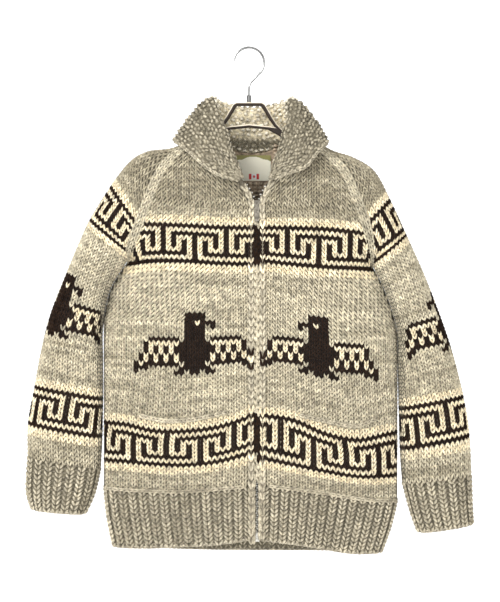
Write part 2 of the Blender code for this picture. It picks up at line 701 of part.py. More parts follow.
def make_cuffs():
    """The ribbed tube at the end of each sleeve."""
    count = CUFF_RIBS * RIB_POINTS + 1
    turns = np.linspace(-1, 1, CUFF_TURNS)
    for name, table, sign in (("cuff_left", CUFF_LEFT, -1), ("cuff_right", CUFF_RIGHT, 1)):
        rings = []
        for level in np.linspace(0, len(table) - 1, CUFF_ROWS):
            outer_x, outer_z, seam_x, seam_z, front, back = smooth(range(len(table)), table, level)
            ring = (outer_x, outer_z - CUFF_GAP, seam_x, seam_z - CUFF_GAP, 180, front, back)
            around = np.array([sleeve_point((ring, ring), 0, turn) for turn in turns])
            rings.append(resample(around, count))
        rings = np.array(rings[::-1])
        normals = outward(rings) * -sign * -1
        ends = unit(normals[:, 0] + normals[:, -1])
        normals[:, 0], normals[:, -1] = ends, ends
        middle = rings[:, :-1].mean(axis=1, keepdims=True)
        if ((rings - middle) * normals).sum() < 0:
            normals = -normals
        normals = np.array([in_plane(normal, ring) for normal, ring in zip(normals, rings)])
        rings = rings - normals * RIB_HEIGHT
        wave = rib_wave(count, CUFF_RIBS)[None, :, None] * RIB_HEIGHT
        cloth(name, rings + normals * wave, rings - normals * (WALL - RIB_HEIGHT), closed_rows=CUFF_ROWS)


# -------------------------------------------------------- collar, label, edgings
def make_collar():
    """The shawl collar: one knitted piece sewn round the neck and rolled over."""
    grid = collar_grid(neck_loop(FRONTS, SLEEVES, BACK))
    normals = outward(grid)
    centre = grid[0].mean(axis=0)
    if ((grid[0] - centre) * normals[0] * (1, 1, 0)).sum() < 0:
        normals = -normals
    cloth("collar", grid, grid - normals * WALL)


def surface(grid):
    """A search tree over a grid of points, for finding the cloth under another piece."""
    rows, columns = grid.shape[:2]
    points = [Vector(point) for point in grid.reshape(-1, 3)]
    faces = [(r * columns + c, r * columns + c + 1, (r + 1) * columns + c + 1, (r + 1) * columns + c)
             for r in range(rows - 1) for c in range(columns - 1)]
    return BVHTree.FromPolygons(points, faces)


def bead(name, path, width, height, finish, rise=(0, -1, 0)):
    """A half-round bead along a path, rising from the cloth that its flat side lies towards."""
    ahead = unit(np.gradient(path, axis=0))
    across = unit(np.cross(ahead, rise))
    rise = np.cross(across, ahead)
    rings = [[point + a * width / 2 * x + r * height * y for x, y in BEAD_SECTION]
             for point, a, r in zip(path, across, rise)]
    return skin(name, rings, finish)


def front_edge_line(side):
    """The middle edge of one front from the hem's lower edge to the collar, at the ribs' crests."""
    panel = FRONTS[side][:, 0]
    panel = np.concatenate((panel[panel[:, 2] < ZIP_END - 4], [at_height(panel, ZIP_END)]))
    foot = np.array((panel[0, 0], -HEM_FRONT_DEPTH, (HEM_LEFT, HEM_RIGHT)[side][0]))
    hem = []
    for part in np.linspace(0, 1, 5)[:-1]:
        point = foot + (panel[0] - foot) * part
        point[1] -= math.sin(math.pi * part) * HEM_BULGE
        hem.append(point)
    return np.concatenate((hem, panel))


def make_edgings():
    """The chained selvedge that runs beside the zip on each front."""
    for side, name, sign in ((0, "edging_left", -1), (1, "edging_right", 1)):
        path = front_edge_line(side) + np.array((sign * EDGING_WIDTH / 2, -EDGING_LIFT, 0))
        bead(name, path, EDGING_WIDTH, EDGING_HEIGHT, "edging")


def make_pocket_edges():
    """The knitted welt along the mouth of each inset pocket."""
    for side, name, mouth in ((0, "pocket_edge_left", POCKET_LEFT), (1, "pocket_edge_right", POCKET_RIGHT)):
        cloth_there = surface(FRONTS[side])
        path, rises = [], []
        for at in np.linspace(0, len(mouth) - 1, POCKET_POINTS):
            x, z = smooth(range(len(mouth)), mouth, at)
            hit, normal = cloth_there.ray_cast(Vector((x, -AWAY, z)), Vector((0, 1, 0)))[:2]
            normal *= -math.copysign(1, normal.y)
            path.append(hit + normal * POCKET_LIFT)
            rises.append(normal)
        bead(name, np.array(path), POCKET_WIDTH, POCKET_HEIGHT, "edging", np.array(rises))


def make_label():
    """The woven label sewn inside the back, just under the neck seam."""
    inside = surface(BACK)
    outer = np.zeros((LABEL_ROWS, LABEL_COLUMNS, 3))
    for j, z in enumerate(np.linspace(LABEL_FOOT, LABEL_TOP, LABEL_ROWS)):
        for i, x in enumerate(np.linspace(BACK_X - LABEL_WIDTH / 2, BACK_X + LABEL_WIDTH / 2, LABEL_COLUMNS)):
            hit = inside.ray_cast(Vector((x, 0, z)), Vector((0, 1, 0)))[0]
            outer[j, i] = (x, hit.y - WALL - LABEL_GAP, z)
    cloth("label", outer, outer - np.array((0, LABEL_THICK, 0)), "label")


# -------------------------------------------------------------------- the zip
def cloth_behind(names, x, z):
    """How far back the cloth reaches at one place, read from inside the cardigan."""
    reach = []
    for name in names:
        mesh = bpy.data.objects[name].data
        tree = BVHTree.FromPolygons([v.co / MM for v in mesh.vertices], [tuple(p.vertices) for p in mesh.polygons])
        for near in (z - NEARBY, z, z + NEARBY):
            hit = tree.ray_cast(Vector((x, 0, near)), Vector((0, -1, 0)))[0]
            if hit:
                reach.append(hit.y)
    return max(reach)


def make_chains():
    """Each half of the zip: a chain of teeth on its tape, which lies behind the front's edge."""
    for side, name, sign in ((0, "left", -1), (1, "right", 1)):
        edge = front_edge_line(side)
        low, high = STOP_TOP + SEAM, ZIP_TOP - SLIDER_HEIGHT
        closed = edge[(edge[:, 2] > low + 5) & (edge[:, 2] < high - 5)]
        straight = np.concatenate(([at_height(edge, low)], closed, [at_height(edge, high)]))
        slider_y = at_height(edge, (high + ZIP_TOP) / 2)[1]
        straight[-1, 1] = slider_y
        straight[:, 0] = ZIP_X
        spread = np.array((ZIP_X + sign * SLIDER_SPREAD, slider_y, ZIP_TOP + 1))
        opened = np.array([at_height(edge, z) for z in OPEN_HEIGHTS]) - (sign * ZIP_HALF, 0, ZIP_SHORT)
        rings = []
        for x, y, z in np.concatenate((straight, [spread], opened)):
            names = ("front_" + name, "hem_" + name)
            teeth = y + ZIP_SUNK
            near = max(teeth + TEETH_DEPTH, cloth_behind(names, x + sign * (ZIP_HALF + 0.8), z) + TAPE_GAP)
            far = max(near, cloth_behind(names, x + sign * TAPE_REACH, z) + TAPE_GAP)
            section = ((TEETH_IN, teeth - TEETH_DEPTH), (TEETH_OUT, teeth - TEETH_DEPTH), (TEETH_OUT, near),
                       (TAPE_REACH, far), (TAPE_REACH, far + TAPE_THICK), (TEETH_OUT - 1.2, near + TAPE_THICK),
                       (TEETH_OUT - 1.2, teeth + TEETH_DEPTH), (TEETH_IN, teeth + TEETH_DEPTH))
            rings.append([(x + sign * across, depth, z) for across, depth in section])
        skin("zip_" + name, rings, "zip")


def box(low, high):
    """A rectangular block between two corners, as a mesh object that another piece takes in."""
    bm = bmesh.new()
    made = bmesh.ops.create_cube(bm, size=1)
    middle = (Vector(low) + Vector(high)) / 2
    size = Vector(high) - Vector(low)
    for vert in made["verts"]:
        vert.co = Vector((vert.co.x * size.x, vert.co.y * size.y, vert.co.z * size.z)) + middle
        vert.co *= MM
    mesh = bpy.data.meshes.new("block")
    bm.to_mesh(mesh)
    bm.free()
    made = bpy.data.objects.new("block", mesh)
    bpy.context.scene.collection.objects.link(made)
    return made


def joined(name, blocks, finish, bevel=0.0):
    """Blocks that meet, made one body."""
    first, *rest = blocks
    for block in rest:
        union = first.modifiers.new("join", "BOOLEAN")
        union.operation = "UNION"
        union.object = block
    bpy.context.view_layer.update()
    mesh = bpy.data.meshes.new_from_object(first.evaluated_get(bpy.context.evaluated_depsgraph_get()))
    mesh.name = name
    for block in blocks:
        bpy.data.objects.remove(block, do_unlink=True)
    made = add_object(name, mesh, finish)
    if bevel:
        round_edges = made.modifiers.new("edges", "BEVEL")
        round_edges.width = bevel * MM
        round_edges.segments = 1
        round_edges.limit_method = "ANGLE"
    return made


def make_slider():
    """The slider: a front and a back plate, the wedge between them and the crown that holds the tab."""
    edge = front_edge_line(0)
    teeth = at_height(edge, ZIP_TOP - SLIDER_HEIGHT / 2)[1] + ZIP_SUNK
    front = teeth - TEETH_DEPTH - SLIDER_GAP
    behind = cloth_behind(("front_left", "front_right"), ZIP_X - ZIP_HALF - 1, ZIP_TOP - SLIDER_HEIGHT / 2)
    behind += TAPE_GAP + TAPE_THICK + SLIDER_GAP
    half = SLIDER_WIDTH / 2
    foot = ZIP_TOP - SLIDER_HEIGHT
    top, low = ZIP_TOP - 0.6, ZIP_TOP - 0.6 - CROWN_HEIGHT
    crown = front - PLATE - CROWN_DEPTH
    bar = CROWN_WIDTH / 2
    blocks = [
        box((ZIP_X - half, front - PLATE, foot), (ZIP_X + half, front, ZIP_TOP)),
        box((ZIP_X - POST, front - 0.5, ZIP_TOP - 4), (ZIP_X + POST, behind + 0.5, ZIP_TOP)),
        box((ZIP_X - half + 1.4, behind, foot), (ZIP_X + half - 1.4, behind + PLATE, ZIP_TOP)),
        box((ZIP_X - bar, crown, top - CROWN_WIRE), (ZIP_X + bar, front - 0.5, top)),
        box((ZIP_X - bar, crown, low), (ZIP_X + bar, front - 0.5, low + CROWN_WIRE)),
        box((ZIP_X - bar, crown, low + 0.5), (ZIP_X + bar, crown + CROWN_WIRE, top - 0.5)),
    ]
    joined("zip_slider", blocks, "steel")
    return (crown + CROWN_WIRE + front - PLATE) / 2, (top + low) / 2


def make_pull(pivot_y, pivot_z):
    """The pull tab: a flat plate whose top bar turns in the slider's crown."""
    rim = TAB_THICK / 2
    side = [(1, rim), (1, TAB_LENGTH * -0.35), (1.1, TAB_LENGTH * -0.8), (0.8, -TAB_LENGTH)]
    outline = [(part * TAB_WIDTH / 2, z) for part, z in side]
    outline += [(-x, z) for x, z in reversed(outline)]
    eye = EYE_WIDTH / 2
    opening = [(-eye, -rim), (-eye, -EYE_DEPTH), (eye, -EYE_DEPTH), (eye, -rim)]
    flat_plate("zip_pull", (outline, opening), TAB_THICK, "steel", Vector((ZIP_X, pivot_y, pivot_z)))


def from_curve(name, curve, finish, place):
    """A curve's solid as a mesh with its pieces welded, set in its place."""
    drawn = bpy.data.objects.new(name, curve)
    bm = bmesh.new()
    bm.from_mesh(drawn.to_mesh())
    drawn.to_mesh_clear()
    bpy.data.objects.remove(drawn, do_unlink=True)
    bmesh.ops.remove_doubles(bm, verts=bm.verts, dist=0.000005)
    bm.transform(place)
    finish_bmesh(bm, name, finish, SMOOTH_UNDER)


def flat_plate(name, outlines, thick, finish, middle=Vector((0, 0, 0))):
    """A plate that stands in the XZ plane, from its outline and the opening in it."""
    curve = bpy.data.curves.new("outline", "CURVE")
    curve.dimensions = "2D"
    curve.fill_mode = "BOTH"
    curve.extrude = thick / 2 * MM
    for outline in outlines:
        spline = curve.splines.new("POLY")
        spline.points.add(len(outline) - 1)
        spline.use_cyclic_u = True
        for point, (x, z) in zip(spline.points, outline):
            point.co = (x * MM, z * MM, 0, 1)
    from_curve(name, curve, finish, Matrix.Translation(middle * MM) @ Matrix.Rotation(math.pi / 2, 4, "X"))


def make_stop():
    """The box at the foot of the zip that the chains end in."""
    y = at_height(front_edge_line(0), (STOP_TOP + STOP_FOOT) / 2)[1] + ZIP_SUNK
    half = STOP_WIDTH / 2
    stop = box((ZIP_X - half, y - STOP_DEPTH, STOP_FOOT), (ZIP_X + half, y + STOP_DEPTH, STOP_TOP))
    joined("zip_stop", [stop], "steel", bevel=0.8)


# ------------------------------------------------------------------ the hanger
def make_hanger():
    """The moulded hanger, open in its crown, with a threaded collar."""
    half = list(HANGER_TOP) + list(HANGER_UNDER)
    outline = half + [(-x, z) for x, z in half[-2:0:-1]]
    opening = list(HANGER_HOLE) + [(-x, z) for x, z in HANGER_HOLE[-2:0:-1]]
    flat_plate("hanger", (outline, opening), HANGER_THICK, "hanger")

    bm = bmesh.new()
    bmesh.ops.create_cone(bm, cap_ends=True, segments=14, radius1=FERRULE_RADIUS * MM, radius2=FERRULE_RADIUS * MM,
                          depth=(FERRULE_TOP - FERRULE_FOOT) * MM)
    bmesh.ops.translate(bm, verts=bm.verts, vec=(0, 0, (FERRULE_TOP + FERRULE_FOOT) / 2 * MM))
    finish_bmesh(bm, "hanger_ferrule", "steel", SMOOTH_UNDER)


def make_hook():
    """The wire hook, whose bend bears the weight at the origin."""
    wire = []
    for degrees in np.linspace(HOOK_TIP, HOOK_TURN, 17):
        angle = math.radians(degrees)
        wire.append((HOOK_RADIUS * math.cos(angle), HOOK_WIRE / 2 - HOOK_RADIUS + HOOK_RADIUS * math.sin(angle)))
    wire += HOOK_SHANK
    curve = bpy.data.curves.new("wire", "CURVE")
    curve.dimensions = "3D"
    curve.bevel_depth = HOOK_WIRE / 2 * MM
    curve.bevel_resolution = 2
    curve.use_fill_caps = True
    spline = curve.splines.new("POLY")
    spline.points.add(len(wire) - 1)
    for point, (x, z) in zip(spline.points, wire):
        point.co = (x * MM, 0, z * MM, 1)
    from_curve("hanger_hook", curve, "steel", Matrix.Identity(4))


CARDIGAN = clear_scene()
FRONTS, SLEEVES, BACK = make_body()
make_hem()
make_cuffs()
make_collar()
make_edgings()
make_pocket_edges()
make_label()
make_chains()
make_pull(*make_slider())
make_stop()
make_hanger()
make_hook()
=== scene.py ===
"""The finished look of a Cowichan cardigan that hangs on its hanger.

The knitting is built stitch by stitch over thin shells of the cardigan's cloth,
with its bands and birds worked from charts. Metres, +Z up, the front faces -Y.
Garment sizes and tables are in millimetres, and MM turns them to metres.
"Left" is the viewer's left (-X).
"""
import math

import bmesh
import bpy
import numpy as np
from mathutils import Matrix, Vector
from mathutils.bvhtree import BVHTree
from mathutils.kdtree import KDTree


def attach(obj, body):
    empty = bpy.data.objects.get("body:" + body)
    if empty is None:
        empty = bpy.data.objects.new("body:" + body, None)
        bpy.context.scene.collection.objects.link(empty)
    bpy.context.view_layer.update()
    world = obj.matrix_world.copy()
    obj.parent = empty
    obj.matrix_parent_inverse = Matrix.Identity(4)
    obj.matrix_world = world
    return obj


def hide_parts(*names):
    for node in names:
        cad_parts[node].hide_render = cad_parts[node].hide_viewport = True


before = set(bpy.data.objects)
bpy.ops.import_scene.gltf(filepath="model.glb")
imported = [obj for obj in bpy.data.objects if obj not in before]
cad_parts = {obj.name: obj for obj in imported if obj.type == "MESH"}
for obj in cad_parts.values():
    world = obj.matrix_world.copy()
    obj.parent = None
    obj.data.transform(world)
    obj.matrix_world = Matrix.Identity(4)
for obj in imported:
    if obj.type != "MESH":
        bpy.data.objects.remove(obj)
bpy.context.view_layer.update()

# ------------------------------------------------------------------ the studio
# A pale floor runs up into a bright wall far behind the cardigan. Large soft boxes
# light it: one from the upper left, a weaker one from the right and a broad one
# from the front.
CAMERA_X = 0.0019
CAMERA_BACK = 3.0
CAMERA_Z = -0.4697
FRAME_HEIGHT = 1.12
LIT = (0, 0, -0.45)     # where the soft boxes point
SOFT_BOXES = (          # name, place, size and power
    ("key", (-1.6, -2.0, 1.2), 1.3, 70.0),
    ("fill", (2.2, -1.8, 0.2), 1.8, 18.0),
    ("front", (0.0, -3.4, -0.2), 2.0, 31.0),
)
SURROUND_GLOW = 0.54
SWEEP_FRONT = -7.0
SWEEP_BACK = 6.5
SWEEP_HALF = 9.0        # half its width
SWEEP_FLOOR = -1.32
SWEEP_TOP = 6.0
SWEEP_BEND = 1.5        # radius where the floor turns up into the wall
SWEEP_STEPS = 12
SWEEP_GLOW = 0.52
WHITE = (1, 1, 1, 1)
PAPER_WHITE = (0.97, 0.97, 0.97, 1)

camera = bpy.data.objects.new("camera", bpy.data.cameras.new("camera"))
camera.location = (CAMERA_X, -CAMERA_BACK, CAMERA_Z)
camera.rotation_euler = (math.pi / 2, 0, 0)
camera.data.lens = camera.data.sensor_width * CAMERA_BACK / FRAME_HEIGHT
bpy.context.scene.collection.objects.link(camera)
bpy.context.scene.camera = camera

for name, place, size, power in SOFT_BOXES:
    soft_box = bpy.data.lights.new(name, "AREA")
    soft_box.shape = "DISK"
    soft_box.size = size
    soft_box.energy = power
    lamp = bpy.data.objects.new(name, soft_box)
    lamp.location = place
    lamp.rotation_euler = (Vector(LIT) - Vector(place)).to_track_quat("-Z", "Y").to_euler()
    bpy.context.scene.collection.objects.link(lamp)

surround = bpy.data.worlds.new("surround")
surround.use_nodes = True
surround.node_tree.nodes["Background"].inputs["Color"].default_value = WHITE
surround.node_tree.nodes["Background"].inputs["Strength"].default_value = SURROUND_GLOW
bpy.context.scene.world = surround
bpy.context.scene.view_settings.view_transform = "Standard"


def set_sockets(node, values):
    """Set constants on a shader node's own sockets."""
    for socket, value in values.items():
        node.inputs[socket].default_value = value


def new_finish(name, values):
    """A new material with constants on its shader, and that shader."""
    made = bpy.data.materials.new(name)
    made.use_nodes = True
    shader = made.node_tree.nodes["Principled BSDF"]
    set_sockets(shader, values)
    return made, shader


def as_mesh(name, bm):
    """The finished mesh of a bmesh."""
    mesh = bpy.data.meshes.new(name)
    bm.to_mesh(mesh)
    bm.free()
    return mesh


def show(mesh, finish):
    """An object that shows a finished mesh in its finish."""
    mesh.materials.append(finish)
    made = bpy.data.objects.new(mesh.name, mesh)
    bpy.context.scene.collection.objects.link(made)
    return made


def draw_line(bm, points):
    """Points in a bmesh, joined one after another."""
    line = [bm.verts.new(point) for point in points]
    for first, second in zip(line, line[1:]):
        bm.edges.new((first, second))


floor_end, bend_top = SWEEP_BACK - SWEEP_BEND, SWEEP_FLOOR + SWEEP_BEND
sweep_line = [(-SWEEP_HALF, SWEEP_FRONT, SWEEP_FLOOR), (-SWEEP_HALF, floor_end, SWEEP_FLOOR)]
for step in range(1, SWEEP_STEPS + 1):
    turned = math.pi / 2 * step / SWEEP_STEPS
    sweep_line.append((-SWEEP_HALF, floor_end + SWEEP_BEND * math.sin(turned),
                       bend_top - SWEEP_BEND * math.cos(turned)))
bm = bmesh.new()
draw_line(bm, sweep_line + [(-SWEEP_HALF, SWEEP_BACK, SWEEP_TOP)])
drawn = bmesh.ops.extrude_edge_only(bm, edges=bm.edges[:])["geom"]
bmesh.ops.translate(bm, verts=[v for v in drawn if isinstance(v, bmesh.types.BMVert)],
                    vec=(2 * SWEEP_HALF, 0, 0))
paper, _ = new_finish("paper", {"Base Color": PAPER_WHITE, "Roughness": 0.9,
                                "Emission Color": WHITE, "Emission Strength": SWEEP_GLOW})
sweep_mesh = as_mesh("paper_sweep", bm)
sweep_mesh.shade_smooth()
show(sweep_mesh, paper)

# --------------------------------------------------- the fronts, back and sleeves
# Five knitted panels of thick two-ply wool, worked from the ribbing up to the
# raglan seams. Under the stitches lies a thin wall of the cloth's own shape.
MM = 0.001
WALL = 5.0              # thickness of the knitting, stitches and all
SUNK = 1.7              # how deep the stitches' feet lie in it
SIDE_SUNK = -0.15       # and where a sleeve lies against the body
BESIDE = (0.6, 0.9)     # how squarely a wall faces its neighbour, from where it counts to fully
SEAM = 0.8              # gap between two pieces at a seam
FLATTEN = 0.84          # section roundness: 1 is an ellipse, less is flatter
SHARE_ABOVE = 0.25      # a seam's walls share its direction if their cosine is above this
SIDE_ROWS = 60          # rows of the cloth, hem ribbing to underarm
YOKE_ROWS = 44          # and from there to the neck
ARM_ROWS = 62           # and of a sleeve, cuff to underarm
FRONT_COLUMNS = 40
BACK_COLUMNS = 72
SLEEVE_COLUMNS = 48
SIDES = ((0, "left", -1), (1, "right", 1))      # number, name and sign of x

# Sleeve sections from the neck down: x and z of the outer edge, x and z of the
# raglan seam or inner edge, the angle turned on each side of the outer edge, and
# the depths in front and behind.
SLEEVE_LEFT = (
    (-81, -150, -75, -159, 62, 26, 26),
    (-137, -184, -121, -188, 66, 31, 30),
    (-188, -192, -156, -222, 80, 41, 37),
    (-222, -212, -180, -270, 98, 47, 41),
    (-257, -257, -203, -332, 112, 53, 45),
    (-291, -312, -220, -374, 146, 56, 48),
    (-305, -339, -229, -398, 180, 56, 48),
    (-337, -414, -259, -450, 180, 54, 47),
    (-368, -493, -272, -517, 180, 52, 46),
    (-386, -563, -272, -584, 180, 49, 44),
    (-398, -628, -272, -650, 180, 46, 41),
    (-410, -694, -273, -719, 180, 44, 39),
    (-411, -756, -276, -780, 180, 42, 37),
)
SLEEVE_RIGHT = (
    (92, -152, 86, -161, 62, 26, 26),
    (150, -188, 134, -192, 66, 31, 30),
    (193, -203, 172, -228, 80, 41, 37),
    (233, -229, 193, -270, 98, 47, 41),
    (262, -282, 215, -330, 112, 53, 45),
    (286, -334, 227, -382, 146, 56, 48),
    (296, -356, 233, -408, 180, 56, 48),
    (325, -421, 255, -455, 180, 54, 47),
    (355, -498, 275, -521, 180, 52, 46),
    (378, -567, 277, -589, 180, 49, 44),
    (398, -646, 279, -668, 180, 46, 41),
    (409, -717, 281, -741, 180, 44, 39),
    (413, -791, 285, -806, 180, 42, 37),
)
UNDERARM = 6            # the sleeve's row there
CUFF = len(SLEEVE_LEFT) - 1
SLEEVE_LEVELS = np.concatenate((np.linspace(CUFF, UNDERARM, ARM_ROWS)[:-1],
                                np.linspace(UNDERARM, 0, YOKE_ROWS)))
INNER_LEVELS = 60
SIDE_HEIGHTS = ((-816, -408), (-840, -418))     # of the side seams, hem and underarm
BODY_EDGES = (-269.5, 275.5)                    # x of the body's widest places
SLEEVE_CLEAR = 1.0      # between body and sleeve
UNDERARM_EASE = 2.0     # how far the seam moves out at the underarm, from this row
EASE_FROM = 4.9
SHOULDER = -275.0       # above it, sections have their own width
TURN_IN = 6             # how sharply a section turns in to its seam

# Front sections from the hem up: x of the edge by the zip, the depth, and the
# heights at five places from that edge to the side.
FRONT_LEFT = (
    (8.5, 53, -808, -814, -819, -818, -816),
    (8.5, 58, -750, -762, -773, -773, -771),
    (8.5, 60, -680, -699, -711, -698, -694),
    (8.5, 58, -594, -598, -602, -604, -604),
    (8.5, 57, -488, -488, -488, -488, -489),
    (8.5, 58, -399, -399, -399, -398, -398),
    (8.5, 59, -326, -328, -330, -332, -334),
    (8.0, 61, -286, -285, -285, -284, -284),
    (-15, 61, -246, -247, -248, -248, -248),
    (-44, 55, -215, -216, -217, -218, -219),
    (-63, 44, -187, -189, -191, -193, -195),
    (-73, 28, -166, -165, -164, -162, -158),
)
FRONT_RIGHT = (
    (20.5, 53, -806, -814, -823, -834, -840),
    (20.5, 58, -756, -769, -784, -791, -791),
    (20.5, 60, -678, -689, -716, -721, -711),
    (20.5, 58, -600, -604, -609, -613, -617),
    (20.5, 57, -492, -494, -496, -497, -498),
    (20.5, 58, -399, -401, -404, -407, -408),
    (20.5, 59, -328, -328, -329, -330, -330),
    (21.0, 61, -286, -285, -285, -284, -284),
    (41, 61, -246, -247, -248, -248, -248),
    (60, 55, -215, -217, -219, -220, -221),
    (76, 44, -188, -190, -193, -196, -199),
    (84, 28, -168, -167, -166, -164, -160),
)
# Soft folds: x and z of both ends, the width and how deep they sink.
FRONT_FOLDS = (
    (-235, -405, -130, -455, 26, 5),
    (-238, -450, -150, -540, 30, -3),
    (-215, -570, -235, -700, 30, 4),
    (-185, -715, -60, -712, 30, -4),
    (-330, -470, -285, -520, 24, 5),
    (-385, -600, -300, -640, 26, 4),
    (238, -412, 140, -462, 26, 5),
    (243, -460, 165, -560, 30, -3),
    (225, -585, 238, -715, 30, 4),
    (90, -722, 220, -738, 30, -4),
    (335, -480, 290, -535, 24, 5),
    (392, -620, 305, -655, 26, 4),
)
BACK_FOLDS = (
    (-235, -410, -110, -490, 30, 5),
    (-90, -330, -160, -620, 34, -3),
    (-385, -600, -300, -640, 26, 4),
    (235, -415, 120, -500, 30, 5),
    (110, -340, 170, -650, 34, -3),
    (392, -620, 305, -655, 26, 4),
)
FOLD_FADE = 30.0        # depth from the middle at which a fold is full
FOLD_ENDS = 0.7         # how much of it is lost at its far end
PLACES_ACROSS = (0, 0.25, 0.5, 0.75, 1)
# Rows of the back: the seam's height, the height in the middle and the depth.
BACK_ROWS = (
    (-816, -826, 43), (-700, -706, 48), (-550, -552, 50), (-398, -400, 51),
    (-334, -338, 51), (-270, -284, 50), (-222, -244, 49), (-184, -214, 48), (-158, -190, 47),
)
BACK_X = 7.0


def smooth(knots, values, at):
    """A smooth curve through values at the rising knots, read at one place."""
    knots = np.asarray(knots, float)
    values = np.asarray(values, float)
    slopes = np.gradient(values, knots, axis=0)
    i = int(np.clip(np.searchsorted(knots, at) - 1, 0, len(knots) - 2))
    step = knots[i + 1] - knots[i]
    t = (at - knots[i]) / step
    ahead = t * t * (3 - 2 * t)
    return (values[i] * (1 - ahead) + values[i + 1] * ahead
            + step * t * (1 - t) * ((1 - t) * slopes[i] - t * slopes[i + 1]))


def table_row(table, level):
    """A row of a table between two of its own, on a smooth curve."""
    return smooth(range(len(table)), table, level)


def unit(vectors):
    """Vectors scaled to length 1."""
    return vectors / np.maximum(np.linalg.norm(vectors, axis=-1, keepdims=True), 1e-9)


def round_part(value):
    """A sine or cosine bent so that the section it draws is flatter than an ellipse."""
    return math.copysign(abs(value) ** FLATTEN, value)


def outward(grid):
    """Unit normals of a grid of points, from its own rows and columns."""
    return unit(np.cross(np.gradient(grid, axis=1), np.gradient(grid, axis=0)))


def sleeve_point(section, turn):
    """A point of a sleeve: turn runs from -1 at the front seam to 1 at the back seam."""
    outer_x, outer_z, seam_x, seam_z, wrap, front, back = section
    wrap = math.radians(min(wrap, 180.0))
    angle = abs(turn) * wrap
    inwards = (1 - round_part(math.cos(angle))) / (1 - round_part(math.cos(wrap)))
    depth = abs(math.sin(angle)) ** FLATTEN
    y = -front * depth if turn < 0 else back * depth
    return (outer_x + (seam_x - outer_x) * inwards, y, outer_z + (seam_z - outer_z) * inwards)


def folded(grid):
    """A grid of points with the folds of its side of the cardigan sunk into it."""
    grid = grid.copy()
    x, y, z = (grid[..., k].copy() for k in range(3))
    for folds, sign in ((FRONT_FOLDS, -1), (BACK_FOLDS, 1)):
        here = np.clip(y * sign / FOLD_FADE, 0, 1)
        for x_0, z_0, x_1, z_1, width, depth in folds:
            length = math.hypot(x_1 - x_0, z_1 - z_0)
            ahead_x, ahead_z = (x_1 - x_0) / length, (z_1 - z_0) / length
            along = np.clip((x - x_0) * ahead_x + (z - z_0) * ahead_z, 0, length)
            away = np.hypot(x - x_0 - along * ahead_x, z - z_0 - along * ahead_z)
            fade = 1 - FOLD_ENDS * (along / length) ** 2
            grid[..., 1] -= sign * here * depth * fade * np.exp(-(away / width) ** 2)
    return grid


def own_width(inner_x, depth, seam):
    """The half width at which a section of this depth runs through its seam point."""
    drop = 1 - min(0.999, abs(seam[1] / depth)) ** (2 / FLATTEN)
    return abs(seam[0] - inner_x) / drop ** (FLATTEN / 2)


def section_row(inner_x, depth, seam, heights, columns, width):
    """One row of a front or of half the back, from its middle edge to its seam point."""
    seam_x, seam_y, _ = seam
    reach = abs(seam_x - inner_x)
    sign = math.copysign(1, seam_x - inner_x)
    end = math.acos(min(1.0, reach / width) ** (1 / FLATTEN))
    turned_in = seam_y - depth * round_part(math.sin(end))
    row = []
    for i in range(columns + 1):
        angle = math.pi / 2 + (end - math.pi / 2) * i / columns
        x = width * round_part(max(0.0, math.cos(angle)))
        part = min(1.0, x / reach)
        y = depth * round_part(math.sin(angle)) + turned_in * part ** TURN_IN
        row.append((inner_x + sign * x, y, smooth(PLACES_ACROSS, heights, part)))
    return np.array(row)


def row_width(inner_x, depth, seam, body):
    """Below the shoulders the sections have the body's full width, above them their own."""
    if seam[2] < SHOULDER:
        return abs(body - inner_x)
    return own_width(inner_x, depth, seam)


def seam_stations(heights, body, sleeve):
    """Shared points of the seams from hem rib to neck, each with its front and back point."""
    levels = np.linspace(UNDERARM, CUFF, INNER_LEVELS)
    hanging = [sleeve_point(table_row(sleeve, level), -1) for level in levels][::-1]
    stations = []
    for z in np.linspace(*heights, SIDE_ROWS):
        x = np.interp(z, [point[2] for point in hanging], [point[0] for point in hanging])
        x = math.copysign(min(abs(x) - SLEEVE_CLEAR, abs(body)), body)
        stations.append(((x, 0, z), (x, 0, z)))
    for level in np.linspace(UNDERARM, 0, YOKE_ROWS):
        ease = UNDERARM_EASE * max(0, level - EASE_FROM) / (UNDERARM - EASE_FROM)
        section = table_row(sleeve, level)
        points = [sleeve_point(section, turn) for turn in (-1, 1)]
        stations.append(tuple((x + math.copysign(ease, -body), y, z) for x, y, z in points))
    return stations


def front_grid(table, stations):
    """The outer points of a front: a row for each seam station, from the zip to the seam."""
    seam_heights = [row[-1] for row in table]
    rows = []
    for seam, _ in stations:
        level = np.interp(seam[2], seam_heights, range(len(table)))
        edge_x, depth, *heights = table_row(table, level)
        heights = [h + (seam[2] - heights[-1]) * i / 4 for i, h in enumerate(heights)]
        width = row_width(edge_x, depth, seam, stations[0][0][0])
        rows.append(section_row(edge_x, -depth, seam, heights, FRONT_COLUMNS, width))
    return np.array(rows)


def back_row(depth, middle_z, seams, widths):
    """A row of the back from its left seam point to its right one, arched in between."""
    halves = []
    for seam, width in zip(seams, widths):
        drop = middle_z - seam[2]
        heights = [seam[2] + drop * (1 - part * part) for part in PLACES_ACROSS]
        halves.append(section_row(BACK_X, depth, seam, heights, BACK_COLUMNS // 2, width))
    return np.concatenate((halves[0][::-1], halves[1][1:]))


def back_grid(left, right):
    """The outer points of the back, from its left seam to its right seam."""
    rows = []
    for (_, left_seam), (_, right_seam) in zip(left, right):
        seams = (left_seam, right_seam)
        middle_z, depth = smooth([row[0] for row in BACK_ROWS], [row[1:] for row in BACK_ROWS],
                                 left_seam[2])
        widths = [row_width(BACK_X, depth, seam, body) for seam, body in zip(seams, BODY_EDGES)]
        rows.append(back_row(depth, middle_z, seams, widths))
    return np.array(rows)


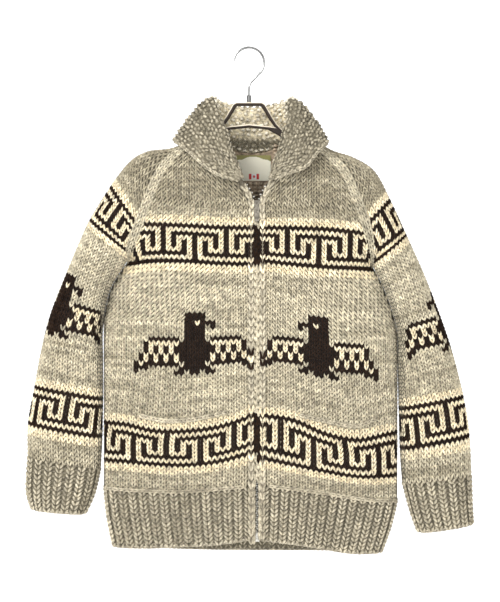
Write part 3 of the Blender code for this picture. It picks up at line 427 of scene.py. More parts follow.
def sleeve_grid(table):
    """The outer points of a sleeve, round from the front seam to the back seam."""
    turns = np.linspace(-1, 1, SLEEVE_COLUMNS + 1)
    sections = [table_row(table, level) for level in SLEEVE_LEVELS]
    return np.array([[sleeve_point(section, turn) for turn in turns] for section in sections])


def in_plane(normals, ring):
    """The normals of a flat ring of points, laid into the ring's own plane."""
    axis = unit(np.cross(ring[len(ring) // 2] - ring[0], (0, 1, 0)))
    return unit(normals - (normals @ axis)[:, None] * axis)


def pull_back(grid, edges):
    """Draw the named edges of a grid back from its seams by half the seam gap."""
    grid = grid.copy()
    columns = grid.swapaxes(0, 1)
    views = {"first_row": grid, "last_row": grid[::-1],
             "first_column": columns, "last_column": columns[::-1]}
    for edge in edges:
        lines = views[edge]
        lines[0] += unit(lines[1] - lines[0]) * SEAM / 2
    return grid


def hang(mesh, finish):
    """Show a finished mesh as a piece that moves with the garment."""
    made = show(mesh, finish)
    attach(made, "garment")
    return made


def lattice(bm, points, columns):
    """Lay a flat grid of faces through rows of points; returns each point's vertex."""
    rows = len(points)
    made = bmesh.ops.create_grid(bm, x_segments=columns - 1, y_segments=rows - 1, size=1)
    place = {}
    for vert in made["verts"]:
        column = round((vert.co.x + 1) / 2 * (columns - 1))
        row = round((vert.co.y + 1) / 2 * (rows - 1))
        vert.co = Vector(points[row][column % len(points[row])]) * MM
        place[row, column] = vert
    return place


def cloth(name, outer, inner, finish, closed_rows=0):
    """A thin closed wall between two grids of points; its first closed_rows make a tube."""
    columns = outer.shape[1]
    bm = bmesh.new()
    faces = []
    for points in (outer, inner):
        place = lattice(bm, points, columns)
        closing = {place.pop((row, columns - 1)): place[row, 0] for row in range(closed_rows)}
        bmesh.ops.weld_verts(bm, targetmap=closing)
        faces.append(place)
    twin = {vert: faces[1][place] for place, vert in faces[0].items()}
    for rim in [rim for rim in bm.edges if rim.is_boundary and rim.verts[0] in twin]:
        start, end = rim.verts
        bm.faces.new((start, end, twin[end], twin[start]))
    bmesh.ops.recalc_face_normals(bm, faces=bm.faces)
    mesh = as_mesh(name, bm)
    mesh.shade_smooth()
    return hang(mesh, finish)


def add(material, kind, values=None):
    """A new node in a material, with constants on its sockets."""
    node = material.node_tree.nodes.new("ShaderNode" + kind)
    set_sockets(node, values or {})
    return node


def wire(material, *joins):
    """Join the nodes of a material: from a node's output to a node's input."""
    for start, output, end, into in joins:
        material.node_tree.links.new(start.outputs[output], end.inputs[into])


# The wool takes its colour from each piece's own yarn attribute, which in places holds
# painted shade and painted light. Fine noise breaks it into fibres, coarser noise into
# flecks, and the fibres stand up a little.
knitting_wool, shader = new_finish("knitting_wool", {
    "Roughness": 0.95, "Sheen Weight": 0.04, "Sheen Roughness": 0.5, "Specular IOR Level": 0.08})
yarn, place = add(knitting_wool, "Attribute"), add(knitting_wool, "TexCoord")
yarn.attribute_name = "yarn"
fibre = add(knitting_wool, "TexNoise", {"Scale": 900, "Detail": 3, "Roughness": 0.65})
blotch = add(knitting_wool, "TexNoise", {"Scale": 170, "Detail": 2})
mixed = add(knitting_wool, "Math")
mixed.operation = "ADD"
spread = add(knitting_wool, "MapRange",
             {"From Min": 0.78, "From Max": 1.22, "To Min": -1, "To Max": 1})
fleck = add(knitting_wool, "Math", {1: 0.5, 2: 1.0})
fleck.operation = "MULTIPLY_ADD"
scaled = add(knitting_wool, "VectorMath")
scaled.operation = "SCALE"
raised = add(knitting_wool, "Bump", {"Strength": 0.5, "Distance": 0.0006})
wire(knitting_wool, (place, "Object", fibre, "Vector"), (place, "Object", blotch, "Vector"),
     (fibre, "Fac", mixed, 0), (blotch, "Fac", mixed, 1), (mixed, 0, spread, "Value"),
     (spread, "Result", fleck, 0), (fleck, 0, scaled, "Scale"), (yarn, "Color", scaled, "Vector"),
     (scaled, "Vector", shader, "Base Color"), (fibre, "Fac", raised, "Height"),
     (raised, "Normal", shader, "Normal"))

STATIONS = [seam_stations(*spans) for spans in zip(SIDE_HEIGHTS, BODY_EDGES,
                                                   (SLEEVE_LEFT, SLEEVE_RIGHT))]
FRONTS = [folded(front_grid(table, stations))
          for table, stations in zip((FRONT_LEFT, FRONT_RIGHT), STATIONS)]
BACK = folded(back_grid(*STATIONS))
SLEEVES = [folded(sleeve_grid(table)) for table in (SLEEVE_LEFT, SLEEVE_RIGHT)]

# Along a raglan seam the body's wall turns half way to the direction that the
# sleeve's wall faces, and the sleeve's wall a quarter of the way to the body's.
# A sleeve's own seam, underneath, faces one way on both of its sides.
front_normals = [outward(FRONTS[side]) * sign for side, _, sign in SIDES]
sleeve_normals = [outward(SLEEVES[side]) * sign for side, _, sign in SIDES]
back_normals = -outward(BACK)
for side, _, sign in SIDES:
    front, sleeve = front_normals[side], sleeve_normals[side]
    back_edge = -side
    front[:SIDE_ROWS + 1, -1] = (sign, 0, 0)
    back_normals[:SIDE_ROWS + 1, back_edge] = (sign, 0, 0)
    front[-4:] = unit(front[-4:].mean(axis=1, keepdims=True))
    for panel, column, sleeve_column in ((front, -1, 0), (back_normals, back_edge, -1)):
        for row in range(1, YOKE_ROWS):
            mine, theirs = panel[SIDE_ROWS + row, column], sleeve[ARM_ROWS - 1 + row, sleeve_column]
            if np.dot(mine, theirs) > SHARE_ABOVE:
                shared = unit(mine + theirs)
                panel[SIDE_ROWS + row, column] = shared
                sleeve[ARM_ROWS - 1 + row, sleeve_column] = unit(shared + theirs)
    shared = unit(sleeve[:ARM_ROWS, 0] + sleeve[:ARM_ROWS, -1])
    sleeve[:ARM_ROWS, 0] = shared
    sleeve[:ARM_ROWS, -1] = shared
    sleeve[0] = in_plane(sleeve[0], SLEEVES[side][0])


def depths(normals, towards):
    """How deep a panel's cloth lies, less where it faces the sleeve or body beside it."""
    beside = np.clip((normals[..., 0] * towards - BESIDE[0]) / (BESIDE[1] - BESIDE[0]), 0, 1)
    return (SUNK + (SIDE_SUNK - SUNK) * beside)[..., None]


ALL_EDGES = ("first_row", "last_row", "first_column", "last_column")
panels = {}
for side, hand, sign in SIDES:
    facing = front_normals[side]
    walls = [pull_back(FRONTS[side] - facing * deep, ALL_EDGES)
             for deep in (depths(facing, sign), WALL)]
    front = cloth(f"front_{hand}_cloth", *walls, knitting_wool)
    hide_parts("front_" + hand)
    walls = []
    for deep in (depths(sleeve_normals[side], -sign), WALL):
        grid = SLEEVES[side] - sleeve_normals[side] * deep
        drawn = pull_back(grid, ALL_EDGES)
        drawn[:ARM_ROWS, 0] = pull_back(grid, ("first_row",))[:ARM_ROWS, 0]
        drawn[:ARM_ROWS, -1] = drawn[:ARM_ROWS, 0]
        walls.append(drawn)
    sleeve = cloth(f"sleeve_{hand}_cloth", *walls, knitting_wool, closed_rows=ARM_ROWS)
    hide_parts("sleeve_" + hand)
    panels["front_" + hand], panels["sleeve_" + hand] = front, sleeve
back_depths = np.minimum(depths(back_normals, 1), depths(back_normals, -1))
walls = [pull_back(BACK - back_normals * deep, ALL_EDGES) for deep in (back_depths, WALL)]
panels["back"] = cloth("back_cloth", *walls, knitting_wool)
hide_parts("back")

# --------------------------------------------------------------- their knitting
# Plain knitting in heathered grey wool, with bands of a squared key pattern and
# birds with chequered wings worked in dark brown and cream. Each stitch is a
# loop of yarn whose two legs make a V.
# A leg's rings: how far across and up the stitch, their half width and height.
LEG = (
    (0.05, -0.42, 0.0, -0.4),
    (0.10, -0.14, 1.5, 1.5),
    (0.245, 0.34, 2.15, 2.7),
    (0.385, 0.84, 1.75, 2.2),
    (0.44, 1.18, 0.0, 0.3),
)
CREAM_ROWS = 2          # of cream above and below each band
HOLLOW_PAINTED_SHADE = 0.22           # painted shade: the cloth between the stitches takes this share of their colour
YARNS = {               # each from its dark to its light fibres
    "ground": ((0.33, 0.29, 0.205), (0.76, 0.685, 0.515)),
    "cream": ((0.76, 0.64, 0.42), (0.83, 0.735, 0.55)),
    "brown": ((0.011, 0.0055, 0.003), (0.026, 0.014, 0.008)),
}
# How much darker or lighter the grey is from one course to another.
SKEINS = ((0, -0.18), (14, -0.18), (20, -0.08), (56, 0.0), (67, -0.05), (70, -0.44), (97, -0.50))
DRIFT = 13              # stitches over which a yarn's tone drifts
DRIFT_SHARE = 0.13
SPECKLE_SHARE = 0.10    # of its tone that changes from stitch to stitch

# Charts, read from the top: # is brown and o cream. A point is cream in the band,
# and the ground's grey round a bird.
KEY_CHART = (
    "############",
    "#...........",
    "#.#########.",
    "#.#...#...#.",
    "#.#.#.#.#.#.",
    "#.#.#.#.#.#.",
    "#...#.#.#...",
    "#####.#.####",
    "......#.....",
    "############",
)
BIRD_CHART = (
    "..........####.........",
    "..........####.........",
    "..........##o###.......",
    "..........####.#.......",
    "..........####.........",
    "..........####.........",
    "...######.####.######..",
    "..#oooooo######oooooo#.",
    "..#o#o#o########o#o#o#.",
    "..#o#o#o########o#o#o#.",
    ".#o#o#o#o######o#o#o#o#",
    ".#o#o#o#o######o#o#o#o#",
    "#o#######.####.#######o",
    "###......######......##",
    "#.......##.##.##......#",
)

# Courses of each front: a course's number, and its heights at places away from
# the front edge. Below row 0 is the ribbing.
COURSE_PLACES = (0, 60, 120, 180, 240, 290)
FRONT_COURSES_LEFT = (
    (0, (-808, -813, -818, -819, -817, -816)),
    (7.5, (-744, -761, -768.6, -767.5, -763.5, -763.5)),
    (16.5, (-678, -698, -706.5, -707, -695.5, -694)),
    (37, (-545, -548, -550, -550, -548, -548)),
    (57.5, (-402, -400, -396, -395.5, -401, -404)),
    (66.5, (-336, -335, -331.5, -329, -329, -330)),
    (91, (-156, -155, -151, -149, -148, -148)),
)
FRONT_COURSES_RIGHT = (
    (0, (-806, -813.5, -822, -832, -838.5, -841)),
    (7.5, (-755, -768, -780.5, -791, -791.5, -791.4)),
    (16.5, (-677.5, -686, -712, -724, -714, -711)),
    (37, (-545, -550, -558, -563, -562, -562)),
    (57.5, (-395, -401.5, -406.7, -408.8, -412, -415)),
    (66.5, (-335.7, -336, -338, -344, -352, -360)),
    (91, (-156, -156, -157, -162, -168, -175)),
)
BACK_PLACES = (-280, -140, 7, 140, 280)
BACK_COURSES = (
    (0, (-816, -822, -826, -832, -840)),
    (7.5, (-763.5, -766, -768, -778, -791)),
    (16.5, (-694, -698, -700, -705, -711)),
    (57.5, (-404, -402, -402, -406, -415)),
    (66.5, (-329, -333, -336, -342, -360)),
    (93, (-134, -138, -142, -147, -165)),
)
# Courses of a sleeve, by the row of its table that they lie on.
SLEEVE_COURSES_LEFT = ((0, 12), (7.5, 11), (16.5, 10), (58.5, 5.2), (67.5, 4), (97, 0))
SLEEVE_COURSES_RIGHT = ((0, 12), (7.5, 11), (16.5, 10), (58.5, 5.65), (67.5, 4), (97, 0))
# How far in the first wale starts, and a wale's width, by course.
FRONT_GAUGE = ((0, 1.0, 10.3), (12, 1.0, 10.5), (30, 3.0, 9.6), (45, 4.0, 9.4),
               (60, 6.4, 9.69), (92, 6.4, 9.69))
BACK_GAUGE = ((0, 0, 10.3), (12, 0, 10.5), (30, 0, 9.8), (92, 0, 9.69))
SLEEVE_GAUGE = ((0, 0, 10.0), (97, 0, 9.7))
# Each band's top course and a wale where its tall bar stands; each bird's top
# course, the wale under the chart's first column, and the way that it faces.
FRONT_BANDS = ((16, 3), (66, 4))
FRONT_BIRDS = ((44, 22, -1),)
BACK_BANDS = ((16, 0), (66, 0))
BACK_BIRDS = ((44, -24, 1), (44, 23, -1))
SLEEVE_BANDS = (((16, 9), (67, 7)), ((16, 6), (67, 6)))
SLEEVE_BIRDS = (((44, -8, 1),), ((43, -11, 1),))
PLACES_MOST = 300       # courses are read this far each way from a panel's own line
PLACES_READ = 121
EDGE_MARGIN = 0.30      # part of a stitch that may be lost at a panel's edge
# Columns of a table of stitches. The wale comes last, after the course.
PLACE, ACROSS, RISE, NORMAL = (slice(k, k + 3) for k in (0, 3, 6, 9))
COURSE = 12


def lengths(line):
    """How far along a broken line each of its points lies."""
    return np.concatenate(([0], np.cumsum(np.linalg.norm(np.diff(line, axis=0), axis=1))))


def read(at, marks, values):
    """Rows of values, read at places between the marks that they belong to."""
    return np.stack([np.interp(at, marks, column) for column in np.transpose(values)], axis=-1)


def blend(rows, level):
    """The row at a level between two rows."""
    i = min(int(level), len(rows) - 2)
    t = level - i
    return rows[i] * (1 - t) + rows[i + 1] * t


def course_numbers(grid, places, courses, away):
    """The course number at each point of a panel, given how far each is from its own line."""
    at = np.linspace(-PLACES_MOST, PLACES_MOST, PLACES_READ)
    heights = [np.array([smooth(places, values, d) for d in at]) for _, values in courses]
    numbers = [number for number, _ in courses]
    found = np.zeros(grid.shape[:2])
    for place in np.ndindex(*found.shape):
        line = [np.interp(away[place], at, height) for height in heights]
        found[place] = np.interp(grid[place][2], line, numbers)
    return found


def lay_stitches(grid, normals, numbers, gauge, middle, start=None):
    """Every stitch of a panel: its place, the way across it, its rise, normal, course and wale.

    middle is the column from which wales are counted, and start how far each
    point of that column already lies from the line that the first wale follows.
    """
    rows = np.arange(len(grid))
    laid = []
    for course in range(math.ceil(numbers.min()), int(numbers.max())):
        level = course + 0.5
        cut = []
        for column in range(grid.shape[1]):
            line = numbers[:, column]
            if not line[0] <= level <= line[-1]:
                continue
            at = np.interp(level, line, rows)
            i = min(int(at), len(grid) - 2)
            rise = (grid[i + 1, column] - grid[i, column]) / (line[i + 1] - line[i])
            begun = blend(start, at) if start is not None else 0.0
            cut.append((*blend(grid[:, column], at), *rise, *blend(normals[:, column], at),
                        column, begun))
        if len(cut) < 3:
            continue
        cut = np.array(cut)
        along = lengths(cut[:, :3])
        along += cut[0, 10] - np.interp(middle, cut[:, 9], along)
        first, width = read(course, [row[0] for row in gauge], [row[1:] for row in gauge])
        low = math.ceil((along[0] - first) / width - 0.5 + EDGE_MARGIN)
        high = math.floor((along[-1] - first) / width - 0.5 - EDGE_MARGIN)
        for wale in range(low, high + 1):
            centre = first + (wale + 0.5) * width
            place, rise, normal = read(centre, along, cut[:, :9]).reshape(3, 3)
            before, after = (read(centre + step, along, cut[:, :3])
                             for step in (-width / 3, width / 3))
            laid.append((*place, *(unit(after - before) * width), *rise, *normal, course, wale))
    return np.array(laid)


def paint(mesh, label, colours):
    """Give a mesh's points their colours, in an attribute of this name."""
    count = len(mesh.vertices)
    layer = mesh.color_attributes.new(name=label, type="FLOAT_COLOR", domain="POINT")
    opaque = np.c_[np.broadcast_to(colours, (count, 3)), np.ones(count)]
    layer.data.foreach_set("color", opaque.astype(np.float32).ravel())


def yarn_ring(centre, sideways, normal, half_width, height):
    """Three points round a bar of yarn: its two feet with its crown between."""
    return [centre + sideways * half_width, centre + normal * height,
            centre - sideways * half_width]


def knit(name, place, across, rise, normal, colours, size=1.0, leg=LEG):
    """A mesh of V-shaped stitches: two leaf-shaped legs of yarn for each."""
    normal = unit(normal)
    across = across * np.sign(np.einsum("ij,ij->i", np.cross(across, rise), normal))[:, None]
    legs = []
    for hand in (-1, 1):
        points = []
        for n, (over, up, half_width, height) in enumerate(leg):
            centre = place + across * (hand * over) + rise * (up - 0.5) - normal * SUNK
            if n in (0, len(leg) - 1):
                points.append(centre + normal * height)
                continue
            ahead_over, ahead_up = (leg[n + 1][k] - leg[n - 1][k] for k in (0, 1))
            sideways = unit(np.cross(normal, across * (hand * ahead_over) + rise * ahead_up))
            points += yarn_ring(centre, sideways, normal, half_width * size, height * size)
        legs.append(np.stack(points, axis=1))
    points = np.stack(legs, axis=1).reshape(len(place) * 2, -1, 3)
    return bars(name, points, np.repeat(colours, 2, axis=0))


BAR_SIDES = ((0.06, 0.36), (0.36, 0.66), (0.66, 0.94))      # of a bar's cell in the texture


def bars(name, points, colours):
    """A mesh of many leaf-shaped bars: two end points each, with three-sided rings between."""
    count, each = points.shape[:2]
    rings = (each - 2) // 3
    faces, marks = [], []
    ups = np.linspace(BAR_SIDES[0][0], BAR_SIDES[-1][1], rings + 2)
    for k, (low, high) in enumerate(BAR_SIDES):
        here, there = 1 + k, 1 + (k + 1) % 3
        tip = (low + high) / 2
        faces.append((0, there, here))
        marks.append(((tip, ups[0]), (high, ups[1]), (low, ups[1])))
        for ring in range(rings - 1):
            step = 3 * ring
            faces.append((here + step, there + step, there + step + 3, here + step + 3))
            marks.append(((low, ups[ring + 1]), (high, ups[ring + 1]),
                          (high, ups[ring + 2]), (low, ups[ring + 2])))
        step = 3 * (rings - 1)
        faces.append((here + step, there + step, each - 1))
        marks.append(((low, ups[-2]), (high, ups[-2]), (tip, ups[-1])))
    corners = np.concatenate(faces)
    sizes = [len(face) for face in faces]
    starts = np.concatenate(([0], np.cumsum(np.tile(sizes, count))[:-1]))
    corners_all = corners[None] + np.arange(count)[:, None] * each
    mesh = bpy.data.meshes.new(name)
    mesh.vertices.add(count * each)
    mesh.vertices.foreach_set("co", (points * MM).astype(np.float32).ravel())
    mesh.loops.add(count * len(corners))
    mesh.loops.foreach_set("vertex_index", corners_all.astype(np.int32).ravel())
    mesh.polygons.add(count * len(sizes))
    mesh.polygons.foreach_set("loop_start", starts.astype(np.int32))
    mesh.update(calc_edges=True)
    paint(mesh, "yarn", np.repeat(colours, each, axis=0))
    cells = math.ceil(math.sqrt(count))
    cell = np.stack((np.arange(count) % cells, np.arange(count) // cells), axis=1)
    unwrapped = (cell[:, None] + np.concatenate(marks)[None]) / cells
    mesh.uv_layers.new(name="OFBake").data.foreach_set("uv", unwrapped.astype(np.float32).ravel())
    mesh.shade_smooth()
    return hang(mesh, knitting_wool)


def chart_yarn(course, wale, bands, birds):
    """The yarn of one stitch: ground, cream or brown."""
    for top, bar in bands:
        row = top - course
        if -CREAM_ROWS <= row < 0 or len(KEY_CHART) <= row < len(KEY_CHART) + CREAM_ROWS:
            return "cream"
        if 0 <= row < len(KEY_CHART):
            mark = KEY_CHART[row][(wale - bar) % len(KEY_CHART[0])]
            return "brown" if mark == "#" else "cream"
    for top, first, faces in birds:
        row, column = top - course, (wale - first) * faces
        if 0 <= row < len(BIRD_CHART) and 0 <= column < len(BIRD_CHART[0]):
            mark = BIRD_CHART[row][column]
            if mark != ".":
                return "brown" if mark == "#" else "cream"
    return "ground"


def dye(yarns, seed, courses=None):
    """A colour for each stitch, from dark to light in its own yarn, drifting along the courses."""
    chance = np.random.default_rng(seed)
    count = len(yarns)
    drift = np.convolve(chance.standard_normal(count + DRIFT - 1), np.ones(DRIFT) / DRIFT ** 0.5,
                        mode="valid")
    mixed = 0.5 + DRIFT_SHARE * drift + SPECKLE_SHARE * chance.standard_normal(count)
    if courses is not None:
        skein = np.interp(courses, *zip(*SKEINS))
        mixed += skein * np.array([yarn == "ground" for yarn in yarns])
    dark, light = (np.array([YARNS[yarn][k] for yarn in yarns]) for k in (0, 1))
    return dark + (light - dark) * np.clip(mixed, 0, 1)[:, None]


def knit_panel(name, panel, laid, bands, birds, seed):
    """Knit one panel's stitches over its cloth, painted dark for the shade in their hollows."""
    yarns = [chart_yarn(int(course), int(wale), bands, birds) for course, wale in laid[:, COURSE:]]
    colours = dye(yarns, seed, laid[:, COURSE])
    tree = KDTree(len(laid))
    for n, point in enumerate(laid[:, PLACE]):
        tree.insert(Vector(point) * MM, n)
    tree.balance()
    nearest = [tree.find(vert.co)[1] for vert in panel.data.vertices]
    # Painted shade: the cloth takes its nearest stitch's colour, darkened for the shadow between
    # stitches.
    paint(panel.data, "yarn", colours[nearest] * HOLLOW_PAINTED_SHADE)
    return knit(name, laid[:, PLACE], laid[:, ACROSS], laid[:, RISE], laid[:, NORMAL], colours)


for side, hand, _ in SIDES:
    name, grid = "front_" + hand, FRONTS[side]
    courses = (FRONT_COURSES_LEFT, FRONT_COURSES_RIGHT)[side]
    away = np.abs(grid[..., 0] - grid[0, 0, 0])
    numbers = course_numbers(grid, COURSE_PLACES, courses, away)
    laid = lay_stitches(grid, front_normals[side], numbers, FRONT_GAUGE, 0, away[:, 0])
    knit_panel(name + "_stitches", panels[name], laid, FRONT_BANDS, FRONT_BIRDS,
                                seed=11 + side)

numbers = course_numbers(BACK, BACK_PLACES, BACK_COURSES, BACK[..., 0])
back_laid = lay_stitches(BACK, back_normals, numbers, BACK_GAUGE, BACK_COLUMNS // 2)
knit_panel("back_stitches", panels["back"], back_laid, BACK_BANDS, BACK_BIRDS,
                              seed=21)

for side, hand, _ in SIDES:
    name, grid = "sleeve_" + hand, SLEEVES[side]
    courses = (SLEEVE_COURSES_LEFT, SLEEVE_COURSES_RIGHT)[side]
    run = lengths(grid[:, SLEEVE_COLUMNS // 4])
    known = np.interp([-row for _, row in courses], -SLEEVE_LEVELS, run)
    by_row = np.interp(run, known, [number for number, _ in courses])
    numbers = np.repeat(by_row[:, None], grid.shape[1], axis=1)
    laid = lay_stitches(grid[:, ::-1], sleeve_normals[side][:, ::-1], numbers, SLEEVE_GAUGE,
                        SLEEVE_COLUMNS // 2)
    knit_panel(name + "_stitches", panels[name], laid, SLEEVE_BANDS[side],
                                SLEEVE_BIRDS[side], seed=31 + side)

# ------------------------------------------------------------------ the ribbing
# The hem and cuffs, in knit-one purl-one ribbing on finer needles. Each rib is a
# raised column of V stitches, with a sunk column of purl bumps between ribs. The bumps
# and the cloth under them are painted dark for the shade in the valleys.
RIB_HEIGHT = 2.4
RIB_BASE = 1.2          # how deep the cloth lies under the ribs' stitches
RIB_POINTS = 8          # points of the cloth across one rib
RIB_LEVELS = 9          # and rows of it from edge to edge
RIB_SHARE = 0.76        # of a rib's width that its V column takes up
RIB_SIZE = 1.3          # thickness of its yarn
RIB_PROUD = 0.3
PURL_SHARE = 0.62
PURL_SIZE = 0.9
INSIDE_LIFT = 0.4
# painted shade: the ribbing's cloth is this share of the valleys' darkest colour
VALLEY_SHADE = 0.8
RIB_LEG = (             # flatter legs than in plain knitting
    (0.04, -0.28, 0.0, -0.4),
    (0.11, -0.06, 1.5, 1.5),
    (0.27, 0.34, 2.1, 2.5),
    (0.42, 0.74, 1.7, 2.0),
    (0.48, 1.02, 0.0, 0.3),
)
HEM_FRONT_RIBS = 15
HEM_BACK_RIBS = 29
HEM_COURSES = 13
HEM_BULGE = 3.0         # how far the hem stands out at half its height
HEM_GAP = 0.1
HEM_HEIGHTS = ((-906, -916, -920, -924, -925), (-908, -915, -924, -934, -936))
HEM_EDGES = (-253, 247)     # x of its sides
HEM_BACK_Z = -936
HEM_FRONT_DEPTH = 45
HEM_BACK_DEPTH = 38
CUFF_RIBS = 17
CUFF_COURSES = 11
CUFF_TURNS = 161
CUFF_GAP = 0.1
# Cuff rings from the sleeve down: x and z of the outer edge and of the inner one,
# and the depths in front and behind.
CUFFS = (
    ((-411, -756, -276, -780, 42, 37), (-414, -820, -287, -828, 38, 34),
     (-405, -854, -303, -864, 35, 31)),
    ((413, -791, 285, -806, 42, 37), (415, -850, 300, -862, 38, 34),
     (417, -882, 313, -898, 35, 31)),
)
BUMP = (                # along the row, half width and height
    (-0.5, 0.0, -0.3),
    (-0.22, 1.9, 1.9),
    (0.22, 1.9, 1.9),
    (0.5, 0.0, -0.3),
)
YARNS["rib"] = ((0.28, 0.245, 0.175), (0.62, 0.555, 0.42))
# Painted shade: the purl bumps between the ribs are darker than the ribs, for the shadow in the
# valleys.
YARNS["valley"] = ((0.17, 0.15, 0.105), (0.36, 0.32, 0.24))


def bumps(name, place, along, normal, size, colours):
    """A mesh of purl bumps: short bars of yarn that lie along a row."""
    normal, ahead = unit(normal), unit(along)
    sideways = unit(np.cross(normal, ahead))
    length = np.linalg.norm(along, axis=1)[:, None]
    drawn = []
    for n, (over, half_width, height) in enumerate(BUMP):
        centre = place + ahead * length * over
        if n in (0, len(BUMP) - 1):
            drawn.append(centre + normal * height)
        else:
            drawn += yarn_ring(centre, sideways, normal, half_width * size, height * size)
    return bars(name, np.stack(drawn, axis=1), colours)


def rib_wave(count, ribs):
    """How far each of count points across a ribbed piece stands out, from 0 to 1."""
    return 0.5 - 0.5 * np.cos(np.arange(count) / (count - 1) * ribs * 2 * math.pi)


def along_line(points, parts):
    """Points at parts (0 to 1) of the length of a broken line."""
    length = lengths(points)
    return read(parts, length / length[-1], points)


def ribbing(name, rows, normals, ribs, courses, seed, tube=False):
    """A ribbed piece: its cloth, a V column on each rib and a purl column between ribs."""
    count = rows.shape[1]
    wave = rib_wave(count, ribs)[None, :, None] * RIB_HEIGHT
    walls = [rows + normals * (wave - RIB_BASE), rows + normals * (RIB_HEIGHT - WALL)]
    if not tube:
        walls = [pull_back(wall, ("first_column", "last_column")) for wall in walls]
    piece = cloth(name + "_cloth", *walls, knitting_wool, closed_rows=len(rows) if tube else 0)
    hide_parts(name)
    # Painted shade: the cloth under the ribs is dark, for the shadow in the valleys.
    paint(piece.data, "yarn", np.array(YARNS["valley"][0]) * VALLEY_SHADE)
    down = np.concatenate(([0], np.cumsum(
        np.linalg.norm(np.diff(rows, axis=0), axis=2).mean(axis=1))))

    def column_stitches(first, shift):
        found = []
        for column in range(first, count - 1, RIB_POINTS):
            left, right = max(0, column - 2), min(count - 1, column + 2)
            for course in range(courses):
                level = np.interp((course + 0.5 + shift) / courses * down[-1], down,
                                  range(len(rows)))
                rise = (rows[-1, column] - rows[0, column]) / courses
                across = unit(blend(rows[:, right], level) - blend(rows[:, left], level))
                face = blend(normals[:, column], level)
                place = blend(rows[:, column], level) + face * wave[0, column, 0]
                found.append((*place, *across, *rise, *face))
        return np.array(found)

    def rib_columns(label, found, lift, seed):
        return knit(name + label, found[:, PLACE] + found[:, NORMAL] * lift,
                    found[:, ACROSS] * period * RIB_SHARE, found[:, RISE], found[:, NORMAL],
                    dye(["rib"] * len(found), seed), size=RIB_SIZE, leg=RIB_LEG)

    period = np.linalg.norm(np.diff(rows[len(rows) // 2], axis=0), axis=1).sum() / ribs
    ribs_made = rib_columns("_ribs", column_stitches(RIB_POINTS // 2, 0), RIB_PROUD, seed)
    first = 0 if tube else RIB_POINTS
    valleys = column_stitches(first, 0.5)
    purls = bumps(name + "_purls", valleys[:, PLACE] - valleys[:, NORMAL] * RIB_BASE,
                  valleys[:, ACROSS] * period * PURL_SHARE, valleys[:, NORMAL], PURL_SIZE,
                  dye(["valley"] * len(valleys), seed + 1))
    inside = column_stitches(first, 0)
    inside[:, NORMAL] *= -1
    inner_ribs = rib_columns("_inner_ribs", inside, WALL - RIB_HEIGHT + INSIDE_LIFT, seed + 2)
    return piece, [ribs_made, purls, inner_ribs]


def hem_rows(top, bottom, side_columns, ribs):
    """The ribbed wall's rows under one panel, and the way that it faces."""
    top = top - (0, 0, HEM_GAP)
    parts = np.linspace(0, 1, ribs * RIB_POINTS + 1)
    top, bottom = along_line(top, parts), along_line(bottom, parts)
    levels = np.linspace(0, 1, RIB_LEVELS)
    rows = np.array([bottom + (top - bottom) * level for level in levels])
    normals = outward(rows)
    normals *= np.sign((normals * (rows - rows.mean(axis=(0, 1))) * (0, 1, 0)).sum())
    normals[..., 2] = 0
    normals = unit(normals)
    for column in side_columns:
        normals[:, column] = (math.copysign(1, rows[0, column, 0]), 0, 0)
    drawn = np.sin(np.pi * levels) * HEM_BULGE - RIB_HEIGHT
    return rows + normals * drawn[:, None, None], normals


lower_edges = []
hem_seams = [(x, 0, heights[-1]) for x, heights in zip(HEM_EDGES, HEM_HEIGHTS)]
for side, hand, _ in SIDES:
    top, seam = FRONTS[side][0], hem_seams[side]
    bottom = section_row(top[0, 0], -HEM_FRONT_DEPTH, seam, HEM_HEIGHTS[side], FRONT_COLUMNS,
                         abs(seam[0] - top[0, 0]))
    rows, facing = hem_rows(top, bottom, (-1,), HEM_FRONT_RIBS)
    ribbing("hem_" + hand, rows, facing, HEM_FRONT_RIBS, HEM_COURSES,
                                    seed=41 + side)
    lower_edges.append((rows[0], facing[0]))
bottom = back_row(HEM_BACK_DEPTH, HEM_BACK_Z, hem_seams, [abs(x - BACK_X) for x in HEM_EDGES])
rows, facing = hem_rows(BACK[0], bottom, (0, -1), HEM_BACK_RIBS)
ribbing("hem_back", rows, facing, HEM_BACK_RIBS, HEM_COURSES, seed=45)
lower_edges.append((rows[0], facing[0]))

for side, hand, sign in SIDES:
    rings = []
    for level in np.linspace(0, len(CUFFS[side]) - 1, RIB_LEVELS):
        outer_x, outer_z, seam_x, seam_z, front, back = table_row(CUFFS[side], level)
        ring = (outer_x, outer_z - CUFF_GAP, seam_x, seam_z - CUFF_GAP, 180, front, back)
        around = np.array([sleeve_point(ring, turn) for turn in np.linspace(-1, 1, CUFF_TURNS)])
        rings.append(along_line(around, np.linspace(0, 1, CUFF_RIBS * RIB_POINTS + 1)))
    rings = np.array(rings[::-1])
    facing = outward(rings)
    facing[:, 0] = facing[:, -1] = unit(facing[:, 0] + facing[:, -1])
    if ((rings - rings[:, :-1].mean(axis=1, keepdims=True)) * facing).sum() < 0:
        facing = -facing
    facing = np.array([in_plane(normal, ring) for normal, ring in zip(facing, rings)])
    rings = rings - facing * RIB_HEIGHT
    ribbing("cuff_" + hand, rings, facing, CUFF_RIBS, CUFF_COURSES,
                                     seed=51 + sign, tube=True)
    lower_edges.append((rings[0], facing[0]))
